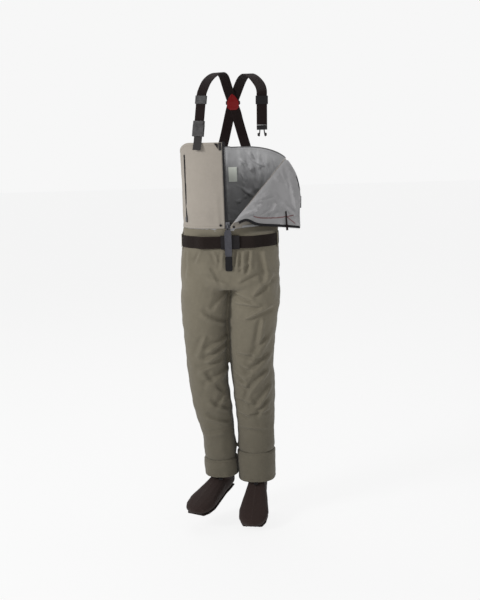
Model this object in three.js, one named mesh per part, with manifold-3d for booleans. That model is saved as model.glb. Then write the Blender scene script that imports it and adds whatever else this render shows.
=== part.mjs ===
// Chest waders: breathable stocking-foot waders with a front zip, hung from the shoulders.
// Millimetres, +Z up, front faces -Y, the wearer's right is -X.
// The origin is where the suspenders rest on the shoulders; heights below are measured up from the toes.
import * as THREE from "three";
import { mergeVertices } from "three/addons/utils/BufferGeometryUtils.js";
import Module from "manifold-3d";

const wasm = await Module();
wasm.setup();

// Driving dimensions, each written once.
const shoulderHeight = 1677; // toes to the top of the suspenders
const bibHemHeight = 1427; // front hem beside the zip
const sideHemHeight = 1397; // right side of the hem
const backHemHeight = 1395; // middle of the back hem
const fabricWall = 3; // shell fabric with its lining
const gap = 0.3; // clearance between touching pieces
const waistSeamHeight = 1111; // bib to trouser seam
const beltHeight = 1059; // middle of the belt
const beltWidth = 45;
const beltThickness = 2.6;
const crotchHeight = 889;
const guardTop = { right: 202, left: 231 }; // gravel guard top seams
const guardHem = { right: 134, left: 114 };
const legEndHeight = 158; // where the leg fabric meets the neoprene foot
const ankleTopHeight = 184;
const footLength = 280;
const footHeelBack = 63; // ankle centre to the back of the heel
const footHalfWidth = 58;
const neopreneWall = 4;
const soleThickness = 5;
const zipTapeWidth = 13;
const zipTapeThickness = 1.4;
const zipChainWidth = 4.4;
const zipChainThickness = 3;
const zipBottomHeight = 1104;
const zipSliderLength = 22;
const zipLength = 325;
const pullLength = 168;
const pullWidth = 26;
const pullThickness = 4;
const pullGripLength = 54;
const strapWidth = 38;
const strapThickness = 2.2;
const sewnTabWidth = 32; // webbing tabs sewn to the hem
const beltSocketLength = 42;
const beltInsertLength = 27;
const beltBuckleRim = 1.7; // buckle wall beside the webbing hole
const strapSocketLength = 42;
const strapInsertLength = 14;
const prongLength = 24;
const buckleThickness = 10;
const buckleWall = 1.8;
const adjusterLength = 30;
const adjusterThickness = 7;
const flapThickness = 2.6;
const flapZipLength = 290; // free zip edge of the folded front panel
const flapOpenAngle = 172; // degrees from closed to folded down
const snapRadius = 4.5;
const slideClearance = 0.8; // webbing inside a buckle or adjuster
const beltBuckleHeight = beltWidth + 2 * (slideClearance + beltBuckleRim);

// Colours and finishes.
const finish = {
  bibFabric: { color: 0xa09990, roughness: 0.85, metalness: 0 },
  trouserFabric: { color: 0x787264, roughness: 0.85, metalness: 0 },
  liningFabric: { color: 0x8a8a8a, roughness: 0.9, metalness: 0 },
  neoprene: { color: 0x2e2421, roughness: 0.95, metalness: 0 },
  webbing: { color: 0x2a1f1d, roughness: 0.9, metalness: 0 },
  greyWebbing: { color: 0x4c4a4a, roughness: 0.9, metalness: 0 },
  zipTape: { color: 0x1c1c1e, roughness: 0.8, metalness: 0 },
  zipTeeth: { color: 0x151517, roughness: 0.5, metalness: 0 },
  sliderMetal: { color: 0x9a9a9c, roughness: 0.35, metalness: 1 },
  pullGrey: { color: 0x54555a, roughness: 0.3, metalness: 0 },
  rubber: { color: 0x121214, roughness: 0.7, metalness: 0 },
  buckle: { color: 0x232021, roughness: 0.45, metalness: 0 },
  yokeRed: { color: 0x8e1012, roughness: 0.8, metalness: 0 },
  label: { color: 0xbcbfb6, roughness: 0.9, metalness: 0 },
};

// The whole garment is modelled above the toes and hung with the shoulders at the origin.
const waders = new THREE.Group();
waders.position.z = -shoulderHeight;

function addPiece(name, geometry, look, parent = waders) {
  const mesh = new THREE.Mesh(geometry, new THREE.MeshStandardMaterial(finish[look]));
  mesh.name = name;
  parent.add(mesh);
  return mesh;
}

// Solids and booleans.

function toManifold(geometry) {
  const bare = geometry.clone();
  bare.deleteAttribute("normal");
  bare.deleteAttribute("uv");
  const merged = mergeVertices(bare, 1e-4);
  const mesh = new wasm.Mesh({
    numProp: 3,
    vertProperties: new Float32Array(merged.attributes.position.array),
    triVerts: new Uint32Array(merged.index.array),
  });
  return new wasm.Manifold(mesh);
}

function fromManifold(solid) {
  const mesh = solid.getMesh();
  const geometry = new THREE.BufferGeometry();
  geometry.setAttribute("position", new THREE.BufferAttribute(new Float32Array(mesh.vertProperties), 3));
  geometry.setIndex(new THREE.BufferAttribute(new Uint32Array(mesh.triVerts), 1));
  return geometry;
}

function meshFrom(points, triangles) {
  const geometry = new THREE.BufferGeometry();
  geometry.setAttribute("position", new THREE.Float32BufferAttribute(points.flatMap((p) => [p.x, p.y, p.z]), 3));
  geometry.setIndex(triangles);
  const a = new THREE.Vector3();
  const b = new THREE.Vector3();
  const c = new THREE.Vector3();
  let volume = 0;
  for (let t = 0; t < triangles.length; t += 3) {
    a.copy(points[triangles[t]]);
    b.copy(points[triangles[t + 1]]);
    c.copy(points[triangles[t + 2]]);
    volume += a.dot(b.cross(c));
  }
  if (volume < 0) {
    for (let t = 0; t < triangles.length; t += 3) {
      [triangles[t + 1], triangles[t + 2]] = [triangles[t + 2], triangles[t + 1]];
    }
    geometry.setIndex(triangles);
  }
  return geometry;
}

function quad(triangles, a, b, c, d) {
  triangles.push(a, b, c, a, c, d);
}

// Closed sheet between two matching grids of points: rows[i][j] outside and inside.
function sheetSolid(outer, inner) {
  const rows = outer.length;
  const columns = outer[0].length;
  const points = [...outer.flat(), ...inner.flat()];
  const far = rows * columns;
  const at = (i, j) => i * columns + j;
  const triangles = [];
  for (let i = 0; i < rows - 1; i++) {
    for (let j = 0; j < columns - 1; j++) {
      quad(triangles, at(i, j), at(i, j + 1), at(i + 1, j + 1), at(i + 1, j));
      quad(triangles, far + at(i, j), far + at(i + 1, j), far + at(i + 1, j + 1), far + at(i, j + 1));
    }
  }
  for (let j = 0; j < columns - 1; j++) {
    const top = rows - 1;
    quad(triangles, at(0, j), far + at(0, j), far + at(0, j + 1), at(0, j + 1));
    quad(triangles, at(top, j), at(top, j + 1), far + at(top, j + 1), far + at(top, j));
  }
  for (let i = 0; i < rows - 1; i++) {
    const end = columns - 1;
    quad(triangles, at(i, 0), at(i + 1, 0), far + at(i + 1, 0), far + at(i, 0));
    quad(triangles, at(i, end), far + at(i, end), far + at(i + 1, end), at(i + 1, end));
  }
  return meshFrom(points, triangles);
}

// Solid loft through closed rings of points, capped at both ends.
function loftSolid(rings) {
  const count = rings[0].length;
  const points = rings.flat();
  const triangles = [];
  for (let i = 0; i < rings.length - 1; i++) {
    for (let j = 0; j < count; j++) {
      const k = (j + 1) % count;
      quad(triangles, i * count + j, i * count + k, (i + 1) * count + k, (i + 1) * count + j);
    }
  }
  const last = (rings.length - 1) * count;
  for (let j = 1; j < count - 1; j++) {
    triangles.push(0, j + 1, j);
    triangles.push(last, last + j, last + j + 1);
  }
  return meshFrom(points, triangles);
}

// Ring-shaped shell between matching outer and inner closed rings.
function sleeveSolid(outer, inner) {
  const count = outer[0].length;
  const rows = outer.length;
  const points = [...outer.flat(), ...inner.flat()];
  const far = rows * count;
  const triangles = [];
  for (let j = 0; j < count; j++) {
    const k = (j + 1) % count;
    for (let i = 0; i < rows - 1; i++) {
      quad(triangles, i * count + j, i * count + k, (i + 1) * count + k, (i + 1) * count + j);
      const base = far + i * count;
      quad(triangles, base + j, base + count + j, base + count + k, base + k);
    }
    const top = (rows - 1) * count;
    quad(triangles, j, far + j, far + k, k);
    quad(triangles, top + j, top + k, far + top + k, far + top + j);
  }
  return meshFrom(points, triangles);
}

function placedBox(x0, x1, y0, y1, z0, z1) {
  const box = new THREE.BoxGeometry(x1 - x0, y1 - y0, z1 - z0);
  box.translate((x0 + x1) / 2, (y0 + y1) / 2, (z0 + z1) / 2);
  return box;
}

function extruded(shape, depth, options = {}) {
  return new THREE.ExtrudeGeometry(shape, { depth, bevelEnabled: false, steps: 1, curveSegments: 4, ...options });
}

function roundedRectangle(width, height, radius) {
  const shape = new THREE.Shape();
  const w = width / 2;
  const h = height / 2;
  shape.moveTo(-w + radius, -h);
  shape.lineTo(w - radius, -h);
  shape.absarc(w - radius, -h + radius, radius, -Math.PI / 2, 0);
  shape.lineTo(w, h - radius);
  shape.absarc(w - radius, h - radius, radius, 0, Math.PI / 2);
  shape.lineTo(-w + radius, h);
  shape.absarc(-w + radius, h - radius, radius, Math.PI / 2, Math.PI);
  shape.lineTo(-w, -h + radius);
  shape.absarc(-w + radius, -h + radius, radius, Math.PI, Math.PI * 1.5);
  return shape;
}

// Values that change with height are read from a few stations with smooth steps between them.
function atHeight(stations, height) {
  const first = stations[0];
  const last = stations[stations.length - 1];
  if (height <= first[0]) return first.slice(1);
  if (height >= last[0]) return last.slice(1);
  const i = stations.findIndex((s) => s[0] > height) - 1;
  const t = (height - stations[i][0]) / (stations[i + 1][0] - stations[i][0]);
  return stations[i].slice(1).map((v, k) => v + (stations[i + 1][k + 1] - v) * t);
}

const steps = (from, to, count) => Array.from({ length: count + 1 }, (_, i) => from + ((to - from) * i) / count);
const smooth = (t) => {
  const s = Math.min(1, Math.max(0, t));
  return s * s * (3 - 2 * s);
};

// Torso outline at each height: half widths to the right, left, front and back.
const beltLow = beltHeight - beltWidth / 2;
const beltHigh = beltHeight + beltWidth / 2;
const torsoStations = [
  [crotchHeight, 193, 184, 132, 128],
  [crotchHeight + 71, 191, 184, 129, 124],
  [beltLow - 10, 184, 184, 121, 119],
  [beltLow, 180, 181, 116, 116],
  [beltHigh, 180, 181, 116, 116],
  [waistSeamHeight, 175, 184, 126, 120],
  [waistSeamHeight + 140, 175, 203, 131.2, 130],
  [bibHemHeight + 10, 175, 228, 138, 140],
];
const torsoPower = 2 / 2.5;

// A point of the torso: turn 0 is the middle of the front, a quarter turn is the wearer's left side.
function torsoPoint(turn, height, inset = 0) {
  const [right, left, front, back] = atHeight(torsoStations, height);
  const s = Math.sin(turn * 2 * Math.PI);
  const c = Math.cos(turn * 2 * Math.PI);
  const reach = (s > 0 ? left : right) - inset;
  const depth = (c > 0 ? front : back) - inset;
  const x = Math.sign(s) * reach * Math.abs(s) ** torsoPower;
  const y = -Math.sign(c) * depth * Math.abs(c) ** torsoPower;
  return new THREE.Vector3(x, y, height);
}

// Fold line of the opened left front: from the foot of the zip to the left side of the hem.
const zipCentreX = 3;
const foldFoot = new THREE.Vector3(14, -134, zipBottomHeight + 14);
const foldTop = new THREE.Vector3(218, 15, 1354);
const foldDirection = foldTop.clone().sub(foldFoot).normalize();
const foldLength = foldTop.distanceTo(foldFoot);
const sideSeamTurn = 0.262;

// Where the left front is slack, the fabric is pulled in to the straight line under the fold.
function slackLine(x) {
  const t = (x - foldFoot.x) / (foldTop.x - foldFoot.x);
  return foldFoot.y + (foldTop.y - foldFoot.y) * t + 5;
}

function trouserPoint(turn, height, inset = 0) {
  const point = torsoPoint(turn, height, inset);
  if (turn > 0 && turn < 0.25 && height > beltHigh && point.x > foldFoot.x) {
    const pulled = Math.max(point.y, slackLine(point.x) + inset);
    point.y += (pulled - point.y) * smooth((height - beltHigh) / 14);
  }
  return point;
}

// Height of the hem around the bib.
function hemHeight(turn) {
  const front = smooth((0.25 - Math.min(turn, 1 - turn)) / 0.13);
  const leftDrop = turn > 0.2 && turn < 0.5 ? 1 - smooth((turn - 0.25) / 0.22) : 0;
  const base = turn > 0.5 ? sideHemHeight : backHemHeight;
  return base + front * (bibHemHeight - sideHemHeight) - leftDrop * (backHemHeight - foldTop.z);
}

// Turn at which the torso outline is a given distance right of the middle.
function turnAtX(x, height) {
  const [right, left] = atHeight(torsoStations, height);
  const share = (Math.abs(x) / (x < 0 ? right : left)) ** (1 / torsoPower);
  return (Math.sign(x) * Math.asin(share)) / (2 * Math.PI);
}

function bibPanel(fromTurn, toTurn, columns, rows) {
  const low = waistSeamHeight + gap / 2;
  const grid = (inset) =>
    steps(0, 1, rows).map((v) =>
      steps(0, 1, columns).map((u) => {
        const end = toTurn ?? turnAtX(panelEdgeX, low);
        const wrapped = (fromTurn + (end - fromTurn) * u + 1) % 1;
        return torsoPoint(wrapped, low + (hemHeight(wrapped) - low) * v, inset);
      })
    );
  return sheetSolid(grid(0), grid(fabricWall));
}

const panelEdgeX = -7;
const rightSideTurn = -0.262;
addPiece("bib_front_right", bibPanel(rightSideTurn, null, 12, 7), "bibFabric");
addPiece("bib_back", bibPanel(sideSeamTurn + 0.001, 1 + rightSideTurn - 0.001, 24, 7), "liningFabric");

// Left front below the fold: at each height it runs from the fold line to the side seam.
function leftPanelRow(height) {
  const t = Math.max(0, (height - foldFoot.z) / (foldTop.z - foldFoot.z));
  const fold = foldFoot.clone().lerp(foldTop, t).setZ(height);
  const side = torsoPoint(sideSeamTurn, height);
  const across = new THREE.Vector3().subVectors(side, fold).setZ(0);
  const run = across.length();
  across.normalize();
  const inward = new THREE.Vector3(-across.y, across.x, 0);
  const start = 0.6;
  const pointAt = (s, offset) => {
    const sag = 0.5 + 2 * Math.sin((Math.PI * (s - start)) / (run - start)) * Math.min(1, run / 120);
    const point = fold.clone().addScaledVector(across, s).addScaledVector(inward, sag + offset);
    point.y = Math.min(point.y, side.y - gap);
    return point;
  };
  return { run, start, pointAt };
}

function leftLowerPanel() {
  const low = waistSeamHeight + gap / 2;
  const high = foldTop.z - 12;
  const grid = (offset) =>
    steps(low, high, 8).map((height) => {
      const { run, start, pointAt } = leftPanelRow(height);
      return steps(start, run - 0.8, 6).map((s) => pointAt(s, offset));
    });
  return sheetSolid(grid(0), grid(fabricWall));
}
addPiece("bib_front_left", leftLowerPanel(), "bibFabric");

// Legs: height, centre x, centre y, half width, half depth.
const legStations = {
  right: [
    [guardHem.right, -64, 2, 62, 74],
    [guardTop.right, -67, 0, 62, 75],
    [294, -71, -2, 63, 76],
    [360, -84, -6, 70, 80],
    [425, -92, -8, 75, 86],
    [520, -101, -8, 78, 92],
    [605, -104, -6, 82, 98],
    [743, -111, -2, 81, 106],
    [crotchHeight - 40, -104, -1, 88, 118],
    [crotchHeight + 50, -96, 0, 92, 122],
  ],
  left: [
    [guardHem.left, 73, 0, 68, 74],
    [guardTop.left, 74, -2, 71, 76],
    [294, 76, -4, 71, 78],
    [358, 76, -6, 74, 82],
    [425, 75, -8, 77, 88],
    [520, 70, -8, 82, 94],
    [602, 67, -6, 83, 100],
    [740, 76, -2, 91, 108],
    [crotchHeight - 40, 86, -1, 96, 118],
    [crotchHeight + 50, 90, 0, 93, 122],
  ],
};
const legPower = 2 / 2.2;
const ringCount = 22;

function ellipseRing(cx, cy, a, b, z, power = legPower, yaw = 0) {
  const ring = [];
  for (let i = 0; i < ringCount; i++) {
    const angle = (i / ringCount) * 2 * Math.PI;
    const c = Math.cos(angle);
    const s = Math.sin(angle);
    const x = Math.sign(c) * a * Math.abs(c) ** power;
    const y = Math.sign(s) * b * Math.abs(s) ** power;
    const turned = new THREE.Vector3(x, y, 0).applyAxisAngle(new THREE.Vector3(0, 0, 1), yaw);
    ring.push(new THREE.Vector3(cx + turned.x, cy + turned.y, z));
  }
  return ring;
}

// Feet: each points toes down, turned out by its own angle.
const feet = {
  right: { ankle: [-61, 0], turnOut: -28, toeDown: 12, heelHeight: 68 },
  left: { ankle: [78, 1], turnOut: -5, toeDown: 25.5, heelHeight: 65 },
};
const ankleHalfWidth = 45;
const ankleHalfDepth = 54;

function legRings(side, inset) {
  const foot = feet[side];
  const yaw = THREE.MathUtils.degToRad(foot.turnOut);
  const rings = [];
  const spread = fabricWall + gap - inset;
  for (const height of [legEndHeight, ankleTopHeight]) {
    const [x, y] = foot.ankle;
    rings.push(ellipseRing(x, y, ankleHalfWidth + spread, ankleHalfDepth + spread, height, 1, yaw));
  }
  const stepHeight = guardTop[side] + gap + inset;
  const [cx, cy, a, b] = atHeight(legStations[side], stepHeight);
  const tuck = fabricWall + 4;
  rings.push(ellipseRing(cx, cy, a - tuck - inset, b - tuck - inset, stepHeight - gap));
  const above = legStations[side].map((station) => station[0]).filter((h) => h > guardTop[side] + 10);
  for (const height of [stepHeight, ...above]) {
    const [x, y, halfWidth, halfDepth] = atHeight(legStations[side], height);
    rings.push(ellipseRing(x, y, halfWidth - inset, halfDepth - inset, height));
  }
  return rings;
}

const hipColumns = 30;
function hipRings(inset) {
  const bottom = crotchHeight - 18 + inset;
  const seam = waistSeamHeight - gap / 2;
  const heights = [bottom, bottom + 22, 950, 1000, beltLow - 10, beltLow, beltHigh, beltHigh + 12, seam];
  return heights.map((height, row) => {
    const shrink = row === 0 ? 16 + inset : inset;
    return Array.from({ length: hipColumns }, (_, j) => trouserPoint((j + 0.001) / hipColumns, height, shrink));
  });
}

// Shell of the trousers: everything outside, less everything inside, open at the waist and ankles.
function liftEnds(rings) {
  const last = rings[rings.length - 1].map((p) => p.clone().setZ(p.z + 1));
  const first = rings[0].map((p) => p.clone().setZ(p.z - 1));
  return [first, ...rings, last];
}

const legOutside = (side) => toManifold(loftSolid(legRings(side, 0)));
const legInside = (side) => toManifold(loftSolid(liftEnds(legRings(side, fabricWall))));
const hipJoin = crotchHeight - 60; // the legs start just below the crotch
const farOut = 700;
const band = (low, high) => toManifold(placedBox(-farOut, farOut, -farOut, farOut, low, high));

function hipShell() {
  const outside = toManifold(loftSolid(hipRings(0))).add(legOutside("right")).add(legOutside("left"));
  const hipInside = hipRings(fabricWall);
  const openTop = [...hipInside, hipInside[hipInside.length - 1].map((p) => p.clone().setZ(p.z + 1))];
  const inside = toManifold(loftSolid(openTop)).add(legInside("right")).add(legInside("left"));
  return outside.subtract(inside).intersect(band(hipJoin + gap / 2, farOut * 2));
}

function legShell(side) {
  return legOutside(side).subtract(legInside(side)).intersect(band(0, hipJoin - gap / 2));
}

addPiece("hip_shell", fromManifold(hipShell()), "trouserFabric");
addPiece("leg_right", fromManifold(legShell("right")), "trouserFabric");
addPiece("leg_left", fromManifold(legShell("left")), "trouserFabric");

// Gravel guards: loose cuffs over the ankles, elastic bands inside their hems, and lace hooks.
const elasticWidth = 9;
const elasticThickness = 2;
for (const side of ["right", "left"]) {
  const guardRings = (inset) =>
    steps(guardHem[side], guardTop[side] - gap, 3).map((height) => {
      const [x, y, a, b] = atHeight(legStations[side], height);
      return ellipseRing(x, y, a - inset, b - inset, height);
    });
  const guard = sleeveSolid(guardRings(0), guardRings(fabricWall));
  addPiece(`gravel_guard_${side}`, guard, "trouserFabric");
  const bandLow = guardHem[side] + 2;
  const [x, y, a, b] = atHeight(legStations[side], guardHem[side]);
  const taper = (height) => (height - guardHem[side]) * 0.05;
  const bandRing = (inset, height) => ellipseRing(x, y, a - inset - taper(height), b - inset - taper(height), height);
  const bandTop = bandLow + elasticWidth;
  const outerInset = fabricWall + gap * 2;
  const elastic = sleeveSolid(
    [bandRing(outerInset, bandLow), bandRing(outerInset, bandTop)],
    [bandRing(outerInset + elasticThickness, bandLow), bandRing(outerInset + elasticThickness, bandTop)]
  );
  addPiece(`guard_elastic_${side}`, elastic, "greyWebbing");
  const hook = new THREE.Shape();
  const hookDrop = 4;
  hook.moveTo(-2, 0);
  hook.lineTo(2, 0);
  hook.lineTo(2, -hookDrop);
  hook.absarc(4.25, -hookDrop, 2.25, Math.PI, Math.PI * 2);
  hook.lineTo(6.5, -hookDrop + 2);
  hook.lineTo(9, -hookDrop + 2);
  hook.lineTo(9, -hookDrop);
  hook.absarc(3.5, -hookDrop, 5.5, 0, -Math.PI, true);
  const hookWidth = 14;
  const hookGeometry = extruded(hook, hookWidth);
  hookGeometry.translate(0, 0, -hookWidth / 2);
  hookGeometry.rotateX(Math.PI / 2);
  hookGeometry.rotateZ(-Math.PI / 2);
  const hookMesh = addPiece(`lace_hook_${side}`, hookGeometry, "buckle");
  hookMesh.position.set(x, y - b + fabricWall / 2 - 2, guardHem[side] - gap);
}

// Neoprene stocking feet: stations along the foot, as share of length, half width and top height.
const footStations = [
  [0.0, 6, 22, 34],
  [0.025, 22, 10, 42],
  [0.08, 31, 3, 56],
  [0.2, 36, 0, 76],
  [0.34, 38, 0, 72],
  [0.48, 45, 0, 61],
  [0.62, 52, 0, 54],
  [0.75, footHalfWidth, 0, 49],
  [0.87, footHalfWidth - 4, 0, 43],
  [0.95, footHalfWidth - 17, 3, 37],
  [1.0, 12, 12, 26],
];

function footMatrix(side) {
  const foot = feet[side];
  const matrix = new THREE.Matrix4();
  matrix.makeTranslation(foot.ankle[0], foot.ankle[1], foot.heelHeight);
  matrix.multiply(new THREE.Matrix4().makeRotationZ(THREE.MathUtils.degToRad(foot.turnOut)));
  matrix.multiply(new THREE.Matrix4().makeRotationX(THREE.MathUtils.degToRad(foot.toeDown)));
  return matrix;
}

const footRingCount = 14;

// A foot section: flat underneath, rounded over the top; forward is -Y.
function footRing(forward, halfWidth, low, high, inset) {
  const ring = [];
  const middle = low + (high - low) * 0.4;
  for (let i = 0; i < footRingCount; i++) {
    const angle = ((i + 0.5) / footRingCount) * 2 * Math.PI;
    const c = Math.cos(angle);
    const s = Math.sin(angle);
    const x = Math.sign(c) * (halfWidth - inset) * Math.abs(c) ** 0.75;
    const reach = s > 0 ? high - middle - inset : middle - low - inset;
    const z = middle + reach * Math.min(1, Math.max(-1, (s < 0 ? 1.25 : 1) * Math.sign(s) * Math.abs(s) ** 0.85));
    ring.push(new THREE.Vector3(x, forward, z));
  }
  return ring;
}

function footBody(side, inset) {
  const matrix = footMatrix(side);
  const rings = footStations.map(([share, halfWidth, low, high], row) => {
    const ends = row === 0 ? inset : row === footStations.length - 1 ? -inset : 0;
    const forward = footHeelBack - share * footLength - ends;
    const narrow = Math.min(inset, halfWidth * 0.6, (high - low) * 0.25);
    return footRing(forward, halfWidth, low, high, narrow).map((p) => p.applyMatrix4(matrix));
  });
  const foot = feet[side];
  const yaw = THREE.MathUtils.degToRad(foot.turnOut);
  const lowCentre = new THREE.Vector3(0, 2, 40).applyMatrix4(matrix);
  const tubeTop = ankleTopHeight - 2 + (inset > 0 ? 1 : 0);
  const tube = [
    ellipseRing(lowCentre.x, lowCentre.y, 32 - inset, 58 - inset, lowCentre.z, 1, yaw),
    ellipseRing(foot.ankle[0], foot.ankle[1], ankleHalfWidth - inset, ankleHalfDepth - inset, legEndHeight - 26, 1, yaw),
    ellipseRing(foot.ankle[0], foot.ankle[1], ankleHalfWidth - inset, ankleHalfDepth - inset, tubeTop, 1, yaw),
  ];
  return toManifold(loftSolid(rings)).add(toManifold(loftSolid(tube)));
}

function soleOutline() {
  const shape = new THREE.Shape();
  const used = footStations.filter(([, , low]) => low <= 3);
  const forward = ([share]) => -(footHeelBack - share * footLength);
  const margin = 4;
  shape.moveTo(used[0][1] - margin, forward(used[0]));
  for (const station of used.slice(1)) shape.lineTo(station[1] - margin, forward(station));
  for (const station of [...used].reverse()) shape.lineTo(-station[1] + margin, forward(station));
  return shape;
}

for (const side of ["right", "left"]) {
  const sock = footBody(side, 0).subtract(footBody(side, neopreneWall));
  addPiece(`foot_upper_${side}`, fromManifold(sock), "neoprene");
  const sole = extruded(soleOutline(), soleThickness);
  sole.scale(1, -1, 1);
  const soleManifold = toManifold(meshFromGeometry(sole));
  const placed = fromManifold(soleManifold);
  placed.translate(0, 0, -soleThickness - gap);
  placed.applyMatrix4(footMatrix(side));
  addPiece(`foot_sole_${side}`, placed, "neoprene");
}

// A mirrored geometry turned outside out again.
function meshFromGeometry(geometry) {
  const bare = geometry.clone();
  bare.deleteAttribute("normal");
  bare.deleteAttribute("uv");
  const merged = mergeVertices(bare, 1e-4);
  const points = [];
  for (let i = 0; i < merged.attributes.position.count; i++) {
    points.push(new THREE.Vector3().fromBufferAttribute(merged.attributes.position, i));
  }
  return meshFrom(points, Array.from(merged.index.array));
}

// Front zip. It lies along a straight line that leans forward a little as it rises.
const zipFrontAt = (height) => -atHeight(torsoStations, height)[2];
const zipRise = bibHemHeight - waistSeamHeight;
const zipLean = Math.atan2(zipFrontAt(waistSeamHeight) - zipFrontAt(bibHemHeight), zipRise);
const zipLine = new THREE.Group();
zipLine.position.set(zipCentreX, zipFrontAt(waistSeamHeight) - 2, zipBottomHeight);
zipLine.rotation.x = zipLean;
waders.add(zipLine);
const chainHalf = zipChainWidth / 2;
const tapeInner = chainHalf + gap;
const tapeOuter = zipCentreX - panelEdgeX - gap;
const tapeBack = gap + zipTapeThickness;
addPiece("zip_tape_right", placedBox(-tapeOuter, -tapeInner, gap, tapeBack, 8, zipLength), "zipTape", zipLine);
const chainFront = (gap + tapeBack - zipChainThickness) / 2;
const chainBack = chainFront + zipChainThickness;
addPiece("zip_chain_right", placedBox(-chainHalf, chainHalf, chainFront, chainBack, 0, zipLength), "zipTeeth", zipLine);
addPiece("zip_bottom_stop", placedBox(-7, 7, chainFront - 1, chainBack + 0.5, -9, -gap), "zipTeeth", zipLine);

// Slider: two plates joined beside the chain, with a lug in front for the pull.
const sliderHalf = 7.5;
const plate = 1.5;
function sliderSolid() {
  const low = 9;
  const high = low + zipSliderLength;
  const front = chainFront - gap - plate;
  const back = chainBack + gap + plate;
  const block = toManifold(placedBox(-sliderHalf, sliderHalf, front, back, low, high));
  const channel = placedBox(-sliderHalf - 1, chainHalf + gap, front + plate, back - plate, low - 1, high + 1);
  const lug = placedBox(-2, 2, front - 7, front + plate / 2, low + 3, low + 14);
  return block.subtract(toManifold(channel)).add(toManifold(lug));
}
addPiece("zip_slider", fromManifold(sliderSolid()), "sliderMetal", zipLine);

// Pull: a fork around the lug, a grey tab and a rubber grip, hanging straight down over the buckle.
const pullPivot = new THREE.Vector3(zipCentreX, -133.6, zipBottomHeight + 18);
function pullTab() {
  const top = pullPivot.z + 1.3;
  const low = pullPivot.z - (pullLength - pullGripLength);
  const shape = new THREE.Shape();
  const half = pullWidth / 2;
  const neck = 6.5;
  shape.moveTo(-half + 3, low);
  shape.lineTo(half - 3, low);
  shape.lineTo(half, low + 6);
  shape.lineTo(half, top - 26);
  shape.lineTo(neck, top - 14);
  shape.lineTo(neck, top);
  shape.lineTo(2.4, top);
  shape.lineTo(2.4, top - 16);
  shape.lineTo(-2.4, top - 16);
  shape.lineTo(-2.4, top);
  shape.lineTo(-neck, top);
  shape.lineTo(-neck, top - 14);
  shape.lineTo(-half, top - 26);
  shape.lineTo(-half, low + 6);
  const tab = extruded(shape, pullThickness);
  tab.rotateX(Math.PI / 2);
  tab.translate(pullPivot.x, pullPivot.y + pullThickness / 2, 0);
  return tab;
}
addPiece("zip_pull_tab", pullTab(), "pullGrey");
const grip = extruded(roundedRectangle(pullWidth, pullGripLength, 5), pullThickness + 1.6);
grip.rotateX(Math.PI / 2);
const gripTop = pullPivot.z - (pullLength - pullGripLength) - gap;
grip.translate(pullPivot.x, pullPivot.y + pullThickness / 2 + 0.8, gripTop - pullGripLength / 2);
addPiece("zip_pull_grip", grip, "rubber");

// The left front panel folded down: a flat sheet hinged on the fold line.
// Its own axes: u away from the fold, v along the fold, w out towards the lining side.
const up = new THREE.Vector3(0, 0, 1);
const zipEdgeCos = foldDirection.dot(up);
const zipEdgeSin = Math.sqrt(1 - zipEdgeCos ** 2);
const closedAway = up.clone().addScaledVector(foldDirection, -zipEdgeCos).normalize();
const openAway = closedAway.clone().applyAxisAngle(foldDirection, THREE.MathUtils.degToRad(flapOpenAngle));
const flapOut = openAway.clone().cross(foldDirection).normalize();
const flap = new THREE.Group();
const flapMatrix = new THREE.Matrix4().makeBasis(openAway, foldDirection, flapOut);
flap.quaternion.setFromRotationMatrix(flapMatrix);
flap.position.copy(foldFoot);
waders.add(flap);

// A point of the flap: so far along the free zip edge and so far in from it.
const onZipEdge = (along, inward) => [
  along * zipEdgeSin - inward * zipEdgeCos,
  along * zipEdgeCos + inward * zipEdgeSin,
];
const flapSideMargin = gap + 0.3;
const hemStart = onZipEdge(flapZipLength, 0);
const hemSteps = steps(0, 1, 8);
const hemPoint = (t) => {
  const bulge = 30 * Math.sin(Math.PI * t ** 1.4);
  const end = [flapSideMargin, foldLength - 4];
  const run = [end[0] - hemStart[0], end[1] - hemStart[1]];
  const length = Math.hypot(...run);
  return [hemStart[0] + run[0] * t - (run[1] / length) * -bulge, hemStart[1] + run[1] * t + (-run[0] / length) * bulge];
};
const edgeStrip = zipTapeWidth;
function flapSheet() {
  const shape = new THREE.Shape();
  const start = edgeStrip / zipEdgeSin + 2;
  shape.moveTo(flapSideMargin, start);
  shape.lineTo(...onZipEdge(flapZipLength, edgeStrip));
  for (const t of hemSteps.slice(1)) shape.lineTo(...hemPoint(t));
  return extruded(shape, flapThickness);
}
const flapSheetMesh = addPiece("flap_panel", flapSheet(), "liningFabric", flap);
flapSheetMesh.position.z = gap;

function edgeRibbon(fromInward, toInward, fromAlong, toAlong, low, high) {
  const shape = new THREE.Shape();
  shape.moveTo(...onZipEdge(fromAlong, toInward));
  shape.lineTo(...onZipEdge(fromAlong, fromInward));
  shape.lineTo(...onZipEdge(toAlong, fromInward));
  shape.lineTo(...onZipEdge(toAlong, toInward));
  const ribbon = extruded(shape, high - low);
  ribbon.translate(0, 0, low);
  return ribbon;
}
const tapeLow = gap + (flapThickness - zipTapeThickness) / 2;
const chainLow = gap + (flapThickness - zipChainThickness) / 2;
const leftTape = edgeRibbon(zipChainWidth + gap, edgeStrip - gap, 30, flapZipLength, tapeLow, tapeLow + zipTapeThickness);
addPiece("zip_tape_left", leftTape, "zipTape", flap);
const leftChain = edgeRibbon(0, zipChainWidth, 26, flapZipLength, chainLow, chainLow + zipChainThickness);
addPiece("zip_chain_left", leftChain, "zipTeeth", flap);

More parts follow.
